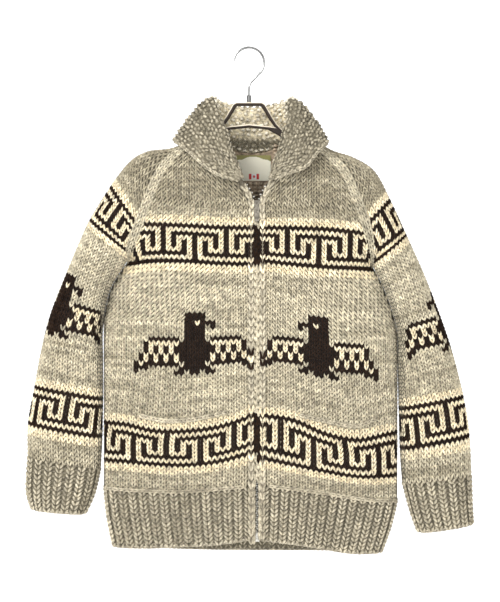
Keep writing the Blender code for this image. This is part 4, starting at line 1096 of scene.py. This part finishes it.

# ------------------------------------------------------------------- the collar
# Inside the back of the neck its bumps are painted lighter, to lift the shade there.
# A shawl collar in moss knitting, sewn round the neck and rolled over, bumpy on
# both faces, with a slipped-stitch selvedge along its free edge.
# Its stations round the neck, each with x, y and z of the roll and of the edge.
COLLAR_ROWS = (
    (-1.00, -12, -68, -240, -19, -75, -250),
    (-0.93, -23, -68, -214, -44, -79, -246),
    (-0.84, -35, -60, -182, -76, -75, -229),
    (-0.75, -45, -46, -150, -106, -64, -202),
    (-0.64, -61, -24, -116, -129, -42, -182),
    (-0.50, -67, 4, -91, -137, 2, -174),
    (-0.34, -58, 34, -91, -112, 54, -178),
    (-0.18, -31, 49, -98, -56, 74, -188),
    (0.00, 7, 50, -102, 7, 78, -194),
    (0.18, 45, 49, -98, 72, 74, -190),
    (0.34, 68, 34, -92, 124, 54, -181),
    (0.50, 77, 4, -93, 144, 2, -177),
    (0.64, 78, -24, -123, 139, -42, -185),
    (0.75, 65, -46, -156, 123, -62, -202),
    (0.84, 56, -60, -184, 104, -75, -226),
    (0.93, 46, -68, -214, 74, -79, -238),
    (1.00, 40, -68, -240, 45, -75, -247),
)
NECK_END = -247.0       # height of the collar's front ends
NECK_CLEAR = 4
ROLL_RADIUS = 9.0       # of the roll, but no more than this share of the stand
ROLL_SHARE = 0.17
ROLL_TURNS = (180, 120, 60, 0)
STAND_BULGE = 0.3       # of that radius, outwards half way up the stand
FALL_BULGE = ((0.34, 5.0), (0.67, 4.0))     # at parts of the fall
COLLAR_STATIONS = 96
COLLAR_ROUND = 34       # points from neck to edge
COLLAR_SUNK = 1.5
COLLAR_PAINTED_SHADING = (0.5, 1.9)      # of the darkest wool: painted shade in front, painted light behind
BEHIND = 0.02           # metres from the middle where that changes
MOSS_LENGTH = 11.0
MOSS_ROW = 7.4
MOSS_SIZE = 1.75
MOSS_SIZES = (0.7, 1.2)         # least and most, by how wide the rows are there
MOSS_UNEVEN = 0.8
MOSS_TURNED = 0.22      # how much a bump's heading strays
LOOK_AHEAD = 2          # distance over which a row's direction is read
STAND_SHARE = 0.42      # of the rows that show inside the neck; behind, their bumps are painted light
YARNS["moss"] = ((0.19, 0.168, 0.118), (0.53, 0.472, 0.355))
# Painted light: the same moss yarn, made much lighter inside the back of the neck, to lift the
# shade there.
YARNS["moss_inside"] = ((0.68, 0.61, 0.48), (0.98, 0.92, 0.76))


def at_height(line, z):
    """The point of a rising line at one height."""
    x, y = read(z, line[:, 2], line[:, :2])
    return np.array((x, y, z))


def neck_loop():
    """The neck edge, from the left front's collar end to the right front's."""
    left, right = (
        np.concatenate(([at_height(line, NECK_END)], line[line[:, 2] > NECK_END + NECK_CLEAR]))
        for line in (front[:, 0] for front in FRONTS))
    return np.concatenate((left, SLEEVES[0][-1][1:-1], BACK[-1], SLEEVES[1][-1][::-1][1:-1],
                           right[::-1]))


def collar_profile(neck, roll, fringe):
    """The collar's hidden side at one station: up its stand, over the roll and down the fall."""
    rise = unit(roll - neck)
    apex = unit(rise + unit(roll - fringe))
    over = fringe - neck
    over = unit(over - apex * np.dot(over, apex))
    radius = min(ROLL_RADIUS, np.linalg.norm(roll - neck) * ROLL_SHARE)
    centre = roll - apex * (radius + WALL)
    start = neck + rise * SEAM * 2
    fall = centre + over * radius
    half_way = start * 0.5 + (centre - over * radius) * 0.5
    knots = [start, half_way - over * radius * STAND_BULGE]
    for angle in map(math.radians, ROLL_TURNS):
        knots.append(centre + over * radius * math.cos(angle) + apex * radius * math.sin(angle))
    for part, bulge in FALL_BULGE:
        knots.append(fall * (1 - part) + fringe * part + over * bulge)
    knots.append(fringe)
    length = lengths(knots)
    return [smooth(length, knots, at) for at in np.linspace(0, length[-1], COLLAR_ROUND)]


stations = np.linspace(-1, 1, COLLAR_STATIONS + 1)
columns = []
for station, neck in zip(stations, along_line(neck_loop(), 0.5 + stations / 2)):
    values = smooth([row[0] for row in COLLAR_ROWS], [row[1:] for row in COLLAR_ROWS], station)
    columns.append(collar_profile(neck, values[:3], values[3:]))
collar_grid = np.array(columns).transpose(1, 0, 2)
collar_facing = outward(collar_grid)
if ((collar_grid[0] - collar_grid[0].mean(axis=0)) * collar_facing[0] * (1, 1, 0)).sum() < 0:
    collar_facing = -collar_facing
collar_sides = [collar_grid - collar_facing * deep for deep in (COLLAR_SUNK, WALL - COLLAR_SUNK)]
collar = cloth("collar_cloth", *collar_sides, knitting_wool)
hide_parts("collar")
# The cloth between the bumps is painted dark in front, for the shade in the hollows, and light
# behind, to lift the shade inside the neck.
painted_shading = [COLLAR_PAINTED_SHADING[vert.co.y > BEHIND] for vert in collar.data.vertices]
paint(collar.data, "yarn", np.outer(painted_shading, YARNS["ground"][0]))


def moss(name, grid, facing, seed):
    """Rows of staggered bumps over one face of the collar."""
    chance = np.random.default_rng(seed)
    deep = np.linalg.norm(np.diff(grid, axis=0), axis=2).sum(axis=0)
    count = int(deep.mean() / MOSS_ROW)
    laid, yarns, sizes = [], [], []
    for row in range(count):
        level = (row + 0.5) / count * (len(grid) - 1)
        line, faces = blend(grid, level), blend(facing, level)
        length = lengths(line)
        number = max(4, int(length[-1] / MOSS_LENGTH))
        step = length[-1] / number
        for n in range(number):
            at = (n + (0.25 if row % 2 else 0.75)) * step + chance.normal() * MOSS_UNEVEN
            point, after = (read(at + ahead, length, line) for ahead in (0, LOOK_AHEAD))
            heading = unit(unit(after - point) + chance.normal(size=3) * MOSS_TURNED)
            point = point + chance.normal(size=3) * MOSS_UNEVEN
            laid.append((point, heading * step, read(at, length, faces)))
            column = np.searchsorted(length, at).clip(0, len(deep) - 1)
            sizes.append(MOSS_SIZE * deep[column] / count / MOSS_ROW)
            # painted light on the rows inside the back of the neck
            yarns.append("moss_inside" if row < count * STAND_SHARE and point[1] > 0 else "moss")
    sizes = np.clip(sizes, *(MOSS_SIZE * part for part in MOSS_SIZES))[:, None]
    return bumps(name, *np.array(laid).swapaxes(0, 1), sizes, dye(yarns, seed))


collar_moss = [moss("collar_moss_outside", collar_sides[1], -collar_facing, seed=61),
               moss("collar_moss_inside", collar_sides[0], collar_facing, seed=62)]

# ------------------------------------------------- chains, welts and raglan seams
# Columns of slipped stitches: beside the zip, along each pocket's mouth, along
# the collar's and ribbing's edges, and in pairs down the raglan seams.
ZIP_END = -250.0        # where the edgings run out under the collar
ZIP_TOP = -286.0        # of the closed part
SLIDER_HEIGHT = 17.0
EDGING_WIDTH = 9.0
EDGING_HEIGHT = 3.2
EDGING_LIFT = 0.4
CORE_SHARE = 0.55       # of the edging's height that its core takes up
CHAIN_SHARE = 0.25      # and how high its chain lies
EDGING_SHORT = 3        # of the collar, at the edging's top
HEM_STEP = 7.3          # height of an edging stitch beside the ribbing
STRETCH_MOST = 1.15     # of a chain's usual stitch
LIP_WIDTH = 6.6         # of the cloth that meets over the zip
LIP_NARROW = 1.8        # and beside the ribbing, where the teeth show
LIP_MEETS = -800.0
LIP_SUNK = 0.3
# painted shade: the beads under the chains are dark, for the shadow between the chains' stitches
CORE_PAINTED_SHADE = (0.20, 0.175, 0.13)
BEAD_SECTION = ((-1, 0), (-0.8, 0.62), (-0.3, 1), (0.3, 1), (0.8, 0.62), (1, 0))
WELD = 0.005            # points nearer than this become one
# Along each pocket's mouth.
POCKETS = (
    ((-199, -680), (-175, -685), (-147, -689), (-110, -687), (-73, -680), (-41, -672)),
    ((93, -678), (132, -687), (169, -695.5), (197, -698.5), (221, -691), (236, -684)),
)
POCKET_POINTS = 41
POCKET_WIDTH = 7.0
POCKET_HEIGHT = 3.0
POCKET_LIFT = 0.9
AWAY = 300.0            # well in front of the cardigan
YARNS["chain"] = ((0.31, 0.275, 0.2), (0.70, 0.63, 0.48))
YARNS["lip"] = ((0.30, 0.265, 0.19), (0.68, 0.61, 0.46))
YARNS["seam"] = ((0.32, 0.285, 0.205), (0.66, 0.595, 0.45))
YARNS["edge"] = ((0.42, 0.37, 0.28), (0.68, 0.61, 0.47))


def chain(name, path, facing, yarns, seed, width, lift, step=None, heights=None, size=1.0, leg=LEG):
    """A column of V stitches along a path: one to about every step, or at the given heights."""
    length = lengths(path)
    if heights is None:
        count = max(2, round(length[-1] / step))
        at = (np.arange(count) + 0.5) / count * length[-1]
    else:
        at = np.interp(heights, path[:, 2], length)
    each = np.gradient(at)
    each = np.minimum(each, np.median(each) * STRETCH_MOST)[:, None]
    place, before, after = (read(np.clip(at + shift, 0, length[-1]), length, path)
                            for shift in (0, -LOOK_AHEAD, LOOK_AHEAD))
    normal = unit(read(at, length, facing))
    rise = unit(after - before) * each
    across = unit(np.cross(rise, normal)) * width
    names = [yarns] * len(at) if isinstance(yarns, str) else list(yarns)
    return knit(name, place + normal * (SUNK + lift), across, rise, normal, dye(names, seed), size,
                leg)


def bead(name, path, width, height, rise):
    """A half-round bead of cloth along a path, rising from what its flat side lies towards."""
    ahead = unit(np.gradient(path, axis=0))
    across = unit(np.cross(ahead, rise))
    rise = np.cross(across, ahead)
    rings = np.array([[point + a * width / 2 * x + r * height * y for x, y in BEAD_SECTION]
                      for point, a, r in zip(path, across, rise)])
    bm = bmesh.new()
    lattice(bm, rings, len(BEAD_SECTION) + 1)
    bmesh.ops.remove_doubles(bm, verts=bm.verts, dist=WELD * MM)
    bmesh.ops.holes_fill(bm, edges=[rim for rim in bm.edges if rim.is_boundary])
    bmesh.ops.recalc_face_normals(bm, faces=bm.faces)
    mesh = as_mesh(name, bm)
    mesh.shade_smooth()
    # painted shade between the chain's stitches
    paint(mesh, "yarn", CORE_PAINTED_SHADE)
    return hang(mesh, knitting_wool)


def front_edge_line(side):
    """The middle edge of one front from the hem's lower edge to the collar, at the ribs' crests."""
    panel = FRONTS[side][:, 0]
    panel = np.concatenate((panel[panel[:, 2] < ZIP_END - NECK_CLEAR], [at_height(panel, ZIP_END)]))
    foot = np.array((panel[0, 0], -HEM_FRONT_DEPTH, HEM_HEIGHTS[side][0]))
    hem = []
    for part in np.arange(12) / 12:
        point = foot + (panel[0] - foot) * part
        point[1] -= math.sin(math.pi * part) * HEM_BULGE
        hem.append(point)
    return np.concatenate((hem, panel))


front_pieces = ([], [])
for side, hand, sign in SIDES:
    name, made = "edging_" + hand, front_pieces[side]
    line = front_edge_line(side)
    courses = (FRONT_COURSES_LEFT, FRONT_COURSES_RIGHT)[side]
    numbers = np.arange(courses[0][0], courses[-1][0]) + 0.5
    heights = np.interp(numbers, [number for number, _ in courses], [row[0] for _, row in courses])
    heights = heights[heights < ZIP_END - EDGING_SHORT]
    numbers = numbers[:len(heights)].astype(int)
    below = np.arange(heights[0] - HEM_STEP, line[0, 2], -HEM_STEP)[::-1]
    heights = np.concatenate((below, heights))
    charted = [chart_yarn(number, 0, FRONT_BANDS, FRONT_BIRDS) for number in numbers]
    yarns = np.array(["rib"] * len(below) + charted)
    yarns[yarns == "ground"] = "chain"
    in_band = np.array([False] * len(below) + [
        any(top - len(KEY_CHART) < number <= top for top, _ in FRONT_BANDS) for number in numbers])
    every_other = np.arange(len(heights)) % 2 == side
    path = line + np.array((sign * EDGING_WIDTH / 2, -EDGING_LIFT, 0))
    forward = np.tile((0.0, -1.0, 0.0), (len(path), 1))
    core = bead(name + "_core", path, EDGING_WIDTH, EDGING_HEIGHT * CORE_SHARE, forward)
    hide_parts(name)
    made.append(core)
    # Long slipped stitches in the plain parts, and every stitch in the bands.
    for part, kept, size, leg in (("_chain", ~in_band & every_other, 1.5, RIB_LEG),
                                  ("_band_chain", in_band, 1.05, LEG)):
        made.append(chain(name + part, path, forward, yarns[kept], seed=71 + side, width=9.6,
                          lift=EDGING_HEIGHT * CHAIN_SHARE, heights=heights[kept], size=size,
                          leg=leg))
    # The front's own edge, which all but meets the other one over the zip.
    lips = np.where(in_band, "brown", "lip")
    lips[:len(below)] = "rib"
    widths = np.where(heights > LIP_MEETS, LIP_WIDTH, LIP_NARROW)
    meeting = line - np.array((sign, 0, 0)) * np.interp(line[:, 2], heights, widths)[:, None] / 2
    meeting[:, 1] += LIP_SUNK
    kept = (heights < ZIP_TOP - SLIDER_HEIGHT - EDGING_SHORT) & every_other
    made.append(chain(name + "_lip", meeting, forward, lips[kept], seed=73 + side,
                      width=widths[kept][:, None], lift=0, heights=heights[kept], size=1.4,
                      leg=RIB_LEG))

for side, hand, _ in SIDES:
    rows, columns = FRONTS[side].shape[:2]
    corners = [at for at in range((rows - 1) * columns) if (at + 1) % columns]
    surface = BVHTree.FromPolygons([Vector(point) for point in FRONTS[side].reshape(-1, 3)],
                                   [(at, at + 1, at + columns + 1, at + columns) for at in corners])
    path, rises = [], []
    for level in np.linspace(0, len(POCKETS[side]) - 1, POCKET_POINTS):
        x, z = table_row(POCKETS[side], level)
        hit, normal = surface.ray_cast(Vector((x, -AWAY, z)), Vector((0, 1, 0)))[:2]
        normal *= -math.copysign(1, normal.y)
        path.append(hit + normal * POCKET_LIFT)
        rises.append(normal)
    path, rises = np.array(path), np.array(rises)
    name = "pocket_edge_" + hand
    core = bead(name + "_core", path, POCKET_WIDTH, POCKET_HEIGHT * 0.5, rises)
    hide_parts(name)
    front_pieces[side].extend((core, chain(name + "_chain", path, rises, "chain", seed=81 + side,
                                           width=8.2, lift=POCKET_HEIGHT * 0.3, step=7.4)))

# Each raglan seam: two raised columns, with the panels' edges sunk between them.
RAGLAN_APART = 4.4
raglans = ([], [])
for side, hand, _ in SIDES:
    sleeve, sleeve_facing = (values[side][ARM_ROWS - 1:] for values in (SLEEVES, sleeve_normals))
    for panel, facing, column, sleeve_column, where in (
            (FRONTS[side], front_normals[side], -1, 0, "front"),
            (BACK, back_normals, -side, -1, "back")):
        path = (panel[SIDE_ROWS:, column] + sleeve[:, sleeve_column]) / 2
        normal = unit(facing[SIDE_ROWS:, column] + sleeve_facing[:, sleeve_column])
        across = unit(np.cross(np.gradient(path, axis=0), normal))
        for way, label in ((-1, "a"), (1, "b")):
            raglans[side].append(chain(f"raglan_{where}_{hand}_{label}",
                                       path + across * way * RAGLAN_APART, normal, "seam",
                                       seed=91 + side, width=8.6, lift=1.3, step=9.0))

# The free edges of the collar, hem and cuffs, and the row where each front's
# ribbing is picked up.
fringe = collar_grid[-1] - collar_facing[-1] * WALL / 2
down = unit(collar_grid[-1] - collar_grid[-3])
collar_edge = chain("collar_selvedge", fringe + down * 0.6, unit(down - collar_facing[-1]), "chain",
                    seed=97, width=6.4, lift=-1.6, step=7.6, size=0.9)
for n, (path, facing) in enumerate(lower_edges):
    chain(f"cast_off_{n}", path - facing * 1.6, unit(facing - (0, 0, 0.8)), "edge",
                          seed=101 + n, width=6.5, lift=-1.4, step=8.0, size=0.9)
for side, hand, _ in SIDES:
    front_pieces[side].append(chain("picked_up_" + hand, FRONTS[side][0, 1:-1],
                                    front_normals[side][0, 1:-1], "rib", seed=111 + side,
                                    width=7.0, lift=0.2, step=9.6, size=0.9))

# The back's wrong side, where it shows through the neck: rows of purl bumps, painted
# light, over an inner wall painted dark for the shade between them.
PURL_FROM = 68          # the course
WRONG_SIDE_FOOT = -420.0
# painted shade: the inner wall between the bumps is this share of their darkest colour
WRONG_SIDE_PAINTED_SHADE = 0.7
WRONG_SIDE_SUNK = 0.3
WRONG_SIDE_SIZE = 1.7   # thickness of its yarn
WRONG_SIDE_LONG = 1.15  # bumps overlap by this
LABEL_WIDTH = 68.0
LABEL_TOP = -195.0
LABEL_FOOT = -243.0
LABEL_CLEAR = 3
# Painted light: the wrong side's yarn is brown and lighter than the outside's grey, lifting the
# shade inside the back.
YARNS["wrong_side"] = ((0.48, 0.37, 0.26), (0.85, 0.72, 0.54))
behind_label = ((abs(back_laid[:, 0] - BACK_X) < LABEL_WIDTH / 2 + LABEL_CLEAR)
                & (back_laid[:, 2] > LABEL_FOOT - LABEL_CLEAR))
courses = back_laid[:, COURSE]
laid = back_laid[(courses > PURL_FROM) & (courses < courses.max()) & ~behind_label]
wrong_side = bumps("back_purls_inside", laid[:, PLACE] - laid[:, NORMAL] * (WALL - WRONG_SIDE_SUNK),
                   laid[:, ACROSS] * WRONG_SIDE_LONG, -laid[:, NORMAL], WRONG_SIDE_SIZE,
                   dye(["wrong_side"] * len(laid), seed=121))
within = panels["back"].data
inner_shade = np.array(YARNS["wrong_side"][0]) * WRONG_SIDE_PAINTED_SHADE
# Painted shade on the back's inner wall between the purl bumps.
for vert, yarn in zip(within.vertices, within.color_attributes["yarn"].data):
    if vert.normal.y < 0 and vert.co.z > WRONG_SIDE_FOOT * MM:
        yarn.color = (*inner_shade, 1)

# ------------------------------------------------------------------------ the zip
# Metal teeth clamped to two dark tapes, which are sewn behind the fronts' edges. The
# slider, pull and stop are pressed and plated steel.
ZIP_X = 14.5
ZIP_SUNK = 3.6          # how far the teeth lie behind the fronts' edges
ZIP_SHORT = 3.0         # of the edge, where the fronts are open
ZIP_HALF = 6.0
ZIP_POINTS = 90
OPEN_HEIGHTS = (-276, -266, -258, -250)
SLIDER_SPREAD = 2.6
STOP_TOP = -893.5
STRAIGHT_CLEAR = 5
FIRST_TOOTH = 1.5
TOOTH_PITCH = 8.4
TOOTH = (3.2, 2.6, 2.3)     # across, deep and high
TOOTH_OVERLAP = 0.9     # how far a tooth's tip reaches over the middle
TOOTH_TIP = 0.7         # how slim it is there
TOOTH_OUT = 0.2
TEETH_DEPTH = 1.5
# Across from the middle: a tape's edge, the cord that the teeth clamp, and its
# other edge.
TAPE_FROM = 1.0
TEETH_OUT = 3.4
TAPE_REACH = 12.0
TAPE_PROUD = 0.2        # how far its first edge stands forward
TAPE_THICK = 0.9
TAPE_GAP = 1.25         # between the tape and the cloth in front of it
FELT_AT = 6.8           # how far out that cloth is felt
NEARBY = 5.0            # and how far up and down


def metal(name, colour, rough, worn):
    """Plated metal, a little uneven and dulled by handling."""
    made, shader = new_finish(name, {"Metallic": 1.0})
    place, smears = add(made, "TexCoord"), add(made, "TexNoise", {"Scale": 260, "Detail": 4})
    dullness = add(made, "MapRange", {"To Min": rough * 0.7, "To Max": rough * 1.3})
    colours = add(made, "ValToRGB")
    dark, light = colours.color_ramp.elements
    dark.position, dark.color = 0.35, (*(part * worn for part in colour), 1)
    light.position, light.color = 0.65, (*colour, 1)
    wire(made, (place, "Object", smears, "Vector"), (smears, "Fac", colours, "Fac"),
         (smears, "Fac", dullness, "Value"), (colours, "Color", shader, "Base Color"),
         (dullness, "Result", shader, "Roughness"))
    return made


def woven(name, thread, rough):
    """Close woven ribbon of fine crossing threads, and its shader, which wants a colour."""
    made, shader = new_finish(name, {"Roughness": rough, "Specular IOR Level": 0.25})
    place, crossing = add(made, "TexCoord"), add(made, "Math")
    crossing.operation = "ADD"
    for n, direction in enumerate("XZ"):
        threads = add(made, "TexWave", {"Scale": thread, "Distortion": 0.6})
        threads.bands_direction = direction
        wire(made, (place, "Object", threads, "Vector"), (threads, "Fac", crossing, n))
    raised = add(made, "Bump", {"Strength": 0.12, "Distance": 0.0002})
    wire(made, (crossing, 0, raised, "Height"), (raised, "Normal", shader, "Normal"))
    return made, shader


def linked(name, bm, finish, smooth_angle=None):
    """A bmesh as a finished piece, smooth where its faces meet at less than an angle."""
    bmesh.ops.recalc_face_normals(bm, faces=bm.faces)
    mesh = as_mesh(name, bm)
    if smooth_angle:
        mesh.shade_smooth()
        mesh.set_sharp_from_angle(angle=math.radians(smooth_angle))
    return hang(mesh, finish)


def node_tree(node):
    """A search tree over a CAD node, in millimetres."""
    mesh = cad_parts[node].data
    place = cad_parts[node].matrix_world
    return BVHTree.FromPolygons([place @ vert.co / MM for vert in mesh.vertices],
                                [tuple(face.vertices) for face in mesh.polygons])


def cloth_behind(trees, x, z):
    """How far back the cloth reaches at one place, read from inside the cardigan."""
    hits = [tree.ray_cast(Vector((x, 0, near)), Vector((0, -1, 0)))[0]
            for tree in trees for near in (z - NEARBY, z, z + NEARBY)]
    return max(hit.y for hit in hits if hit)


steel = metal("plated_steel", (0.27, 0.27, 0.265), 0.32, 0.6)
tooth_metal = metal("tooth_metal", (0.55, 0.53, 0.47), 0.38, 0.5)
slider_metal = metal("slider_metal", (0.19, 0.172, 0.142), 0.34, 0.35)

TAPE_DARK = (0.028, 0.018, 0.012)
tape_cloth, shader = woven("tape_cloth", 900, 0.8)
place, uneven = add(tape_cloth, "TexCoord"), add(tape_cloth, "TexNoise", {"Scale": 400})
colours = add(tape_cloth, "ValToRGB")
for stop, share in zip(colours.color_ramp.elements, (0.6, 1.3)):
    stop.color = (*(part * share for part in TAPE_DARK), 1)
wire(tape_cloth, (place, "Object", uneven, "Vector"), (uneven, "Fac", colours, "Fac"),
     (colours, "Color", shader, "Base Color"))

teeth = bmesh.new()
for side, hand, sign in SIDES:
    trees = [node_tree("front_" + hand), node_tree("hem_" + hand)]
    # The teeth run straight up to the slider, and then out along the open edge.
    edge = front_edge_line(side)
    low, high = STOP_TOP + SEAM, ZIP_TOP - SLIDER_HEIGHT
    closed = edge[(edge[:, 2] > low + STRAIGHT_CLEAR) & (edge[:, 2] < high - STRAIGHT_CLEAR)]
    straight = np.concatenate(([at_height(edge, low)], closed, [at_height(edge, high)]))
    slider_y = at_height(edge, (high + ZIP_TOP) / 2)[1]
    straight[-1, 1] = slider_y
    straight[:, 0] = ZIP_X
    spread = np.array((ZIP_X + sign * SLIDER_SPREAD, slider_y, ZIP_TOP + 1))
    opened = np.array([at_height(edge, z) for z in OPEN_HEIGHTS]) - (sign * ZIP_HALF, 0, ZIP_SHORT)
    path = along_line(np.concatenate((straight, [spread], opened)), np.linspace(0, 1, ZIP_POINTS))
    rings = []
    for x, y, z in path:
        near = max(y + ZIP_SUNK + TEETH_DEPTH,
                   cloth_behind(trees, x + sign * FELT_AT, z) + TAPE_GAP)
        far = max(near, cloth_behind(trees, x + sign * TAPE_REACH, z) + TAPE_GAP)
        section = ((TAPE_FROM, near - TAPE_PROUD), (TEETH_OUT, near), (TAPE_REACH, far))
        rings.append([(x + sign * across, depth, z) for across, depth in section])
    rings = np.array(rings)
    tape = cloth("zip_tape_" + hand, rings, rings + (0, TAPE_THICK, 0), tape_cloth)
    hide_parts("zip_" + hand)
    front_pieces[side].append(tape)
    length = lengths(path)
    for at in np.arange(FIRST_TOOTH + side * TOOTH_PITCH / 2, length[-1] - 1, TOOTH_PITCH):
        x, y, z = read(at, length, path)
        for vert in bmesh.ops.create_cube(teeth, size=1)["verts"]:
            slim = TOOTH_TIP if vert.co.x * sign < 0 else 1.0
            across = vert.co.x * TOOTH[0] + sign * (TOOTH[0] / 2 - TOOTH_OVERLAP)
            vert.co = Vector((x + across, y + ZIP_SUNK - TOOTH_OUT + vert.co.y * TOOTH[1] * slim,
                              z + vert.co.z * TOOTH[2] * slim)) * MM
linked("zip_teeth", teeth, tooth_metal)
for node, finish in (("zip_slider", slider_metal), ("zip_pull", slider_metal),
                     ("zip_stop", tooth_metal), ("hanger_hook", steel)):
    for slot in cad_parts[node].material_slots:
        slot.material = finish

# ---------------------------------------------------------------------- the label
# A woven satin label sewn inside the back neck: olive upper corners round a pale
# peak, and a small red and white flag. It is bare of words.
LABEL_GAP = 0.5
LABEL_THICK = 0.7
LABEL_CELL = 0.8
LABEL_CREAM = (0.95, 0.905, 0.73)
LABEL_OLIVE = (0.30, 0.28, 0.10)
LABEL_RED = (0.60, 0.035, 0.03)
LABEL_WHITE = (0.9, 0.9, 0.86)
PEAK = ((-34, -24), (-26, -17), (-19, -16), (-12, -9), (-4, -5), (5, -5), (13, -9), (20, -15),
        (27, -17), (34, -24))
PEAK_SHARE = 0.5            # of those heights
FLAG = (-7, 12, -35, -45)   # left, right, top and foot
LEAF = 2.6                  # half the width of its middle mark
LEAF_SQUAT = 0.8
LABEL_FELT = (9, 5)         # places across and up at which the back is felt


def label_thread(x, z):
    """The colour of the label's thread at one place, from its middle and its top edge."""
    left, right, top, foot = FLAG
    if left <= x <= right and foot <= z <= top:
        bar = (right - left) / 4
        leaf = abs(x - (left + right) / 2) + abs(z - (top + foot) / 2) * LEAF_SQUAT < LEAF
        return LABEL_RED if x < left + bar or x > right - bar or leaf else LABEL_WHITE
    return LABEL_OLIVE if z > np.interp(x, *zip(*PEAK)) * PEAK_SHARE else LABEL_CREAM


inside = node_tree("back")
across = np.arange(-LABEL_WIDTH / 2, LABEL_WIDTH / 2 + 0.01, LABEL_CELL)
upward = np.arange(LABEL_FOOT, LABEL_TOP + 0.01, LABEL_CELL)
coarse_x = np.linspace(-LABEL_WIDTH / 2, LABEL_WIDTH / 2, LABEL_FELT[0])
coarse_z = np.linspace(LABEL_FOOT, LABEL_TOP, LABEL_FELT[1])
wall_y = [[inside.ray_cast(Vector((BACK_X + x, 0, z)), Vector((0, 1, 0)))[0].y for x in coarse_x]
          for z in coarse_z]
wall_y = read(upward, coarse_z, [np.interp(across, coarse_x, row) for row in wall_y])
face = np.stack(np.broadcast_arrays(BACK_X + across[None, :], wall_y - LABEL_GAP, upward[:, None]),
                axis=2)
label_satin, shader = woven("label_satin", 700, 0.55)
dyed = add(label_satin, "Attribute")
dyed.attribute_name = "thread"
wire(label_satin, (dyed, "Color", shader, "Base Color"))
label = cloth("label_woven", face, face - (0, LABEL_THICK, 0), label_satin)
paint(label.data, "thread", [label_thread(vert.co.x / MM - BACK_X, vert.co.z / MM - LABEL_TOP)
                             for vert in label.data.vertices])
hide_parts("label")

# --------------------------------------------------------------------- the hanger
# Moulded in glossy dark brown plastic with rounded edges, whose upward-facing faces
# carry a painted pale highlight. A plated collar, threaded on the outside, holds the wire hook.
HANGER_THICK = 9.0
HANGER_ROUND = 2.4
# The right half of its outline: along the top, back underneath, and its hole.
HANGER_TOP = ((0, -100), (24, -100), (30, -104), (43, -127), (52, -141), (66, -155), (95, -170.5),
              (136, -189.4), (175, -202.5), (200, -212.8), (208, -219))
HANGER_UNDER = ((203, -228), (170, -219), (136, -207), (95, -190), (60, -165), (35, -151),
                (0, -147))
HANGER_HOLE = ((0, -107), (22, -107), (38, -133), (48, -147), (34, -144.5), (0, -141))
HANGER_TINTS = ((0.014, 0.009, 0.006, 1), (0.036, 0.024, 0.016, 1))
PAINTED_TOP_HIGHLIGHT = (0.90, 0.80, 0.63, 1)      # painted highlight on its upward-facing edges
FERRULE_RADIUS = 4.3
FERRULE_TOP = -87.5
FERRULE_FOOT = -99.7
THREADS = 6
THREAD_DEEP = 0.8

curve = bpy.data.curves.new("outline", "CURVE")
curve.dimensions = "2D"
curve.fill_mode = "BOTH"
curve.extrude = (HANGER_THICK / 2 - HANGER_ROUND) * MM
curve.bevel_depth = HANGER_ROUND * MM
curve.bevel_resolution = 3
curve.offset = -HANGER_ROUND * MM
for half in (HANGER_TOP + HANGER_UNDER, HANGER_HOLE):
    outline = half + tuple((-x, z) for x, z in half[-2:0:-1])
    spline = curve.splines.new("POLY")
    spline.points.add(len(outline) - 1)
    spline.use_cyclic_u = True
    for point, (x, z) in zip(spline.points, outline):
        point.co = (x * MM, z * MM, 0, 1)
drawn = bpy.data.objects.new("outline", curve)
bm = bmesh.new()
bm.from_mesh(drawn.to_mesh())
drawn.to_mesh_clear()
bpy.data.objects.remove(drawn, do_unlink=True)
bmesh.ops.remove_doubles(bm, verts=bm.verts, dist=WELD * MM)
bm.transform(Matrix.Rotation(math.pi / 2, 4, "X"))

moulded, shader = new_finish("moulded_plastic", {
    "Coat Weight": 0.05, "Coat Roughness": 0.12, "Specular IOR Level": 0.12})
place, haze = add(moulded, "TexCoord"), add(moulded, "TexNoise", {"Scale": 45, "Detail": 5})
dulled = add(moulded, "MapRange", {"To Min": 0.22, "To Max": 0.42})
tints = add(moulded, "ValToRGB")
for stop, tint in zip(tints.color_ramp.elements, HANGER_TINTS):
    stop.color = tint
# Painted highlight: faces that turn upwards are mixed towards a pale colour.
facing, split = add(moulded, "NewGeometry"), add(moulded, "SeparateXYZ")
painted_highlight_mask = add(moulded, "MapRange", {"From Min": 0.10, "From Max": 0.35})
painted_highlight_mix = add(moulded, "Mix")
painted_highlight_mix.data_type = "RGBA"
painted_highlight_mix.inputs["B"].default_value = PAINTED_TOP_HIGHLIGHT
wire(moulded, (place, "Object", haze, "Vector"), (haze, "Fac", tints, "Fac"),
     (haze, "Fac", dulled, "Value"), (facing, "Normal", split, "Vector"),
     (split, "Z", painted_highlight_mask, "Value"), (painted_highlight_mask, "Result", painted_highlight_mix, "Factor"),
     (tints, "Color", painted_highlight_mix, "A"), (painted_highlight_mix, "Result", shader, "Base Color"),
     (dulled, "Result", shader, "Roughness"))
hanger = linked("hanger_moulded", bm, moulded, 40)
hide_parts("hanger")

step = (FERRULE_TOP - FERRULE_FOOT) / THREADS
profile = [(0, FERRULE_FOOT), (FERRULE_RADIUS, FERRULE_FOOT)]
for turn in range(THREADS):
    for radius, part in ((FERRULE_RADIUS, 0.5), (FERRULE_RADIUS - THREAD_DEEP, 0.7),
                         (FERRULE_RADIUS - THREAD_DEEP, 0.9), (FERRULE_RADIUS, 1.0)):
        profile.append((radius, FERRULE_FOOT + step * (turn + part)))
profile.append((0, FERRULE_TOP))
bm = bmesh.new()
draw_line(bm, [Vector((x, 0, z)) * MM for x, z in profile])
bmesh.ops.spin(bm, geom=bm.verts[:] + bm.edges[:], axis=(0, 0, 1), cent=(0, 0, 0),
               angle=2 * math.pi, steps=24)
bmesh.ops.remove_doubles(bm, verts=bm.verts, dist=WELD * MM)
ferrule = linked("hanger_threaded_collar", bm, steel, 30)
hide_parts("hanger_ferrule")

# --------------------------------------------------------------- the fronts' and sleeves' names
# The name of each front and then of each sleeve, in turn.
for side, hand, _ in SIDES:
    name = "front_" + hand
    name = "sleeve_" + hand
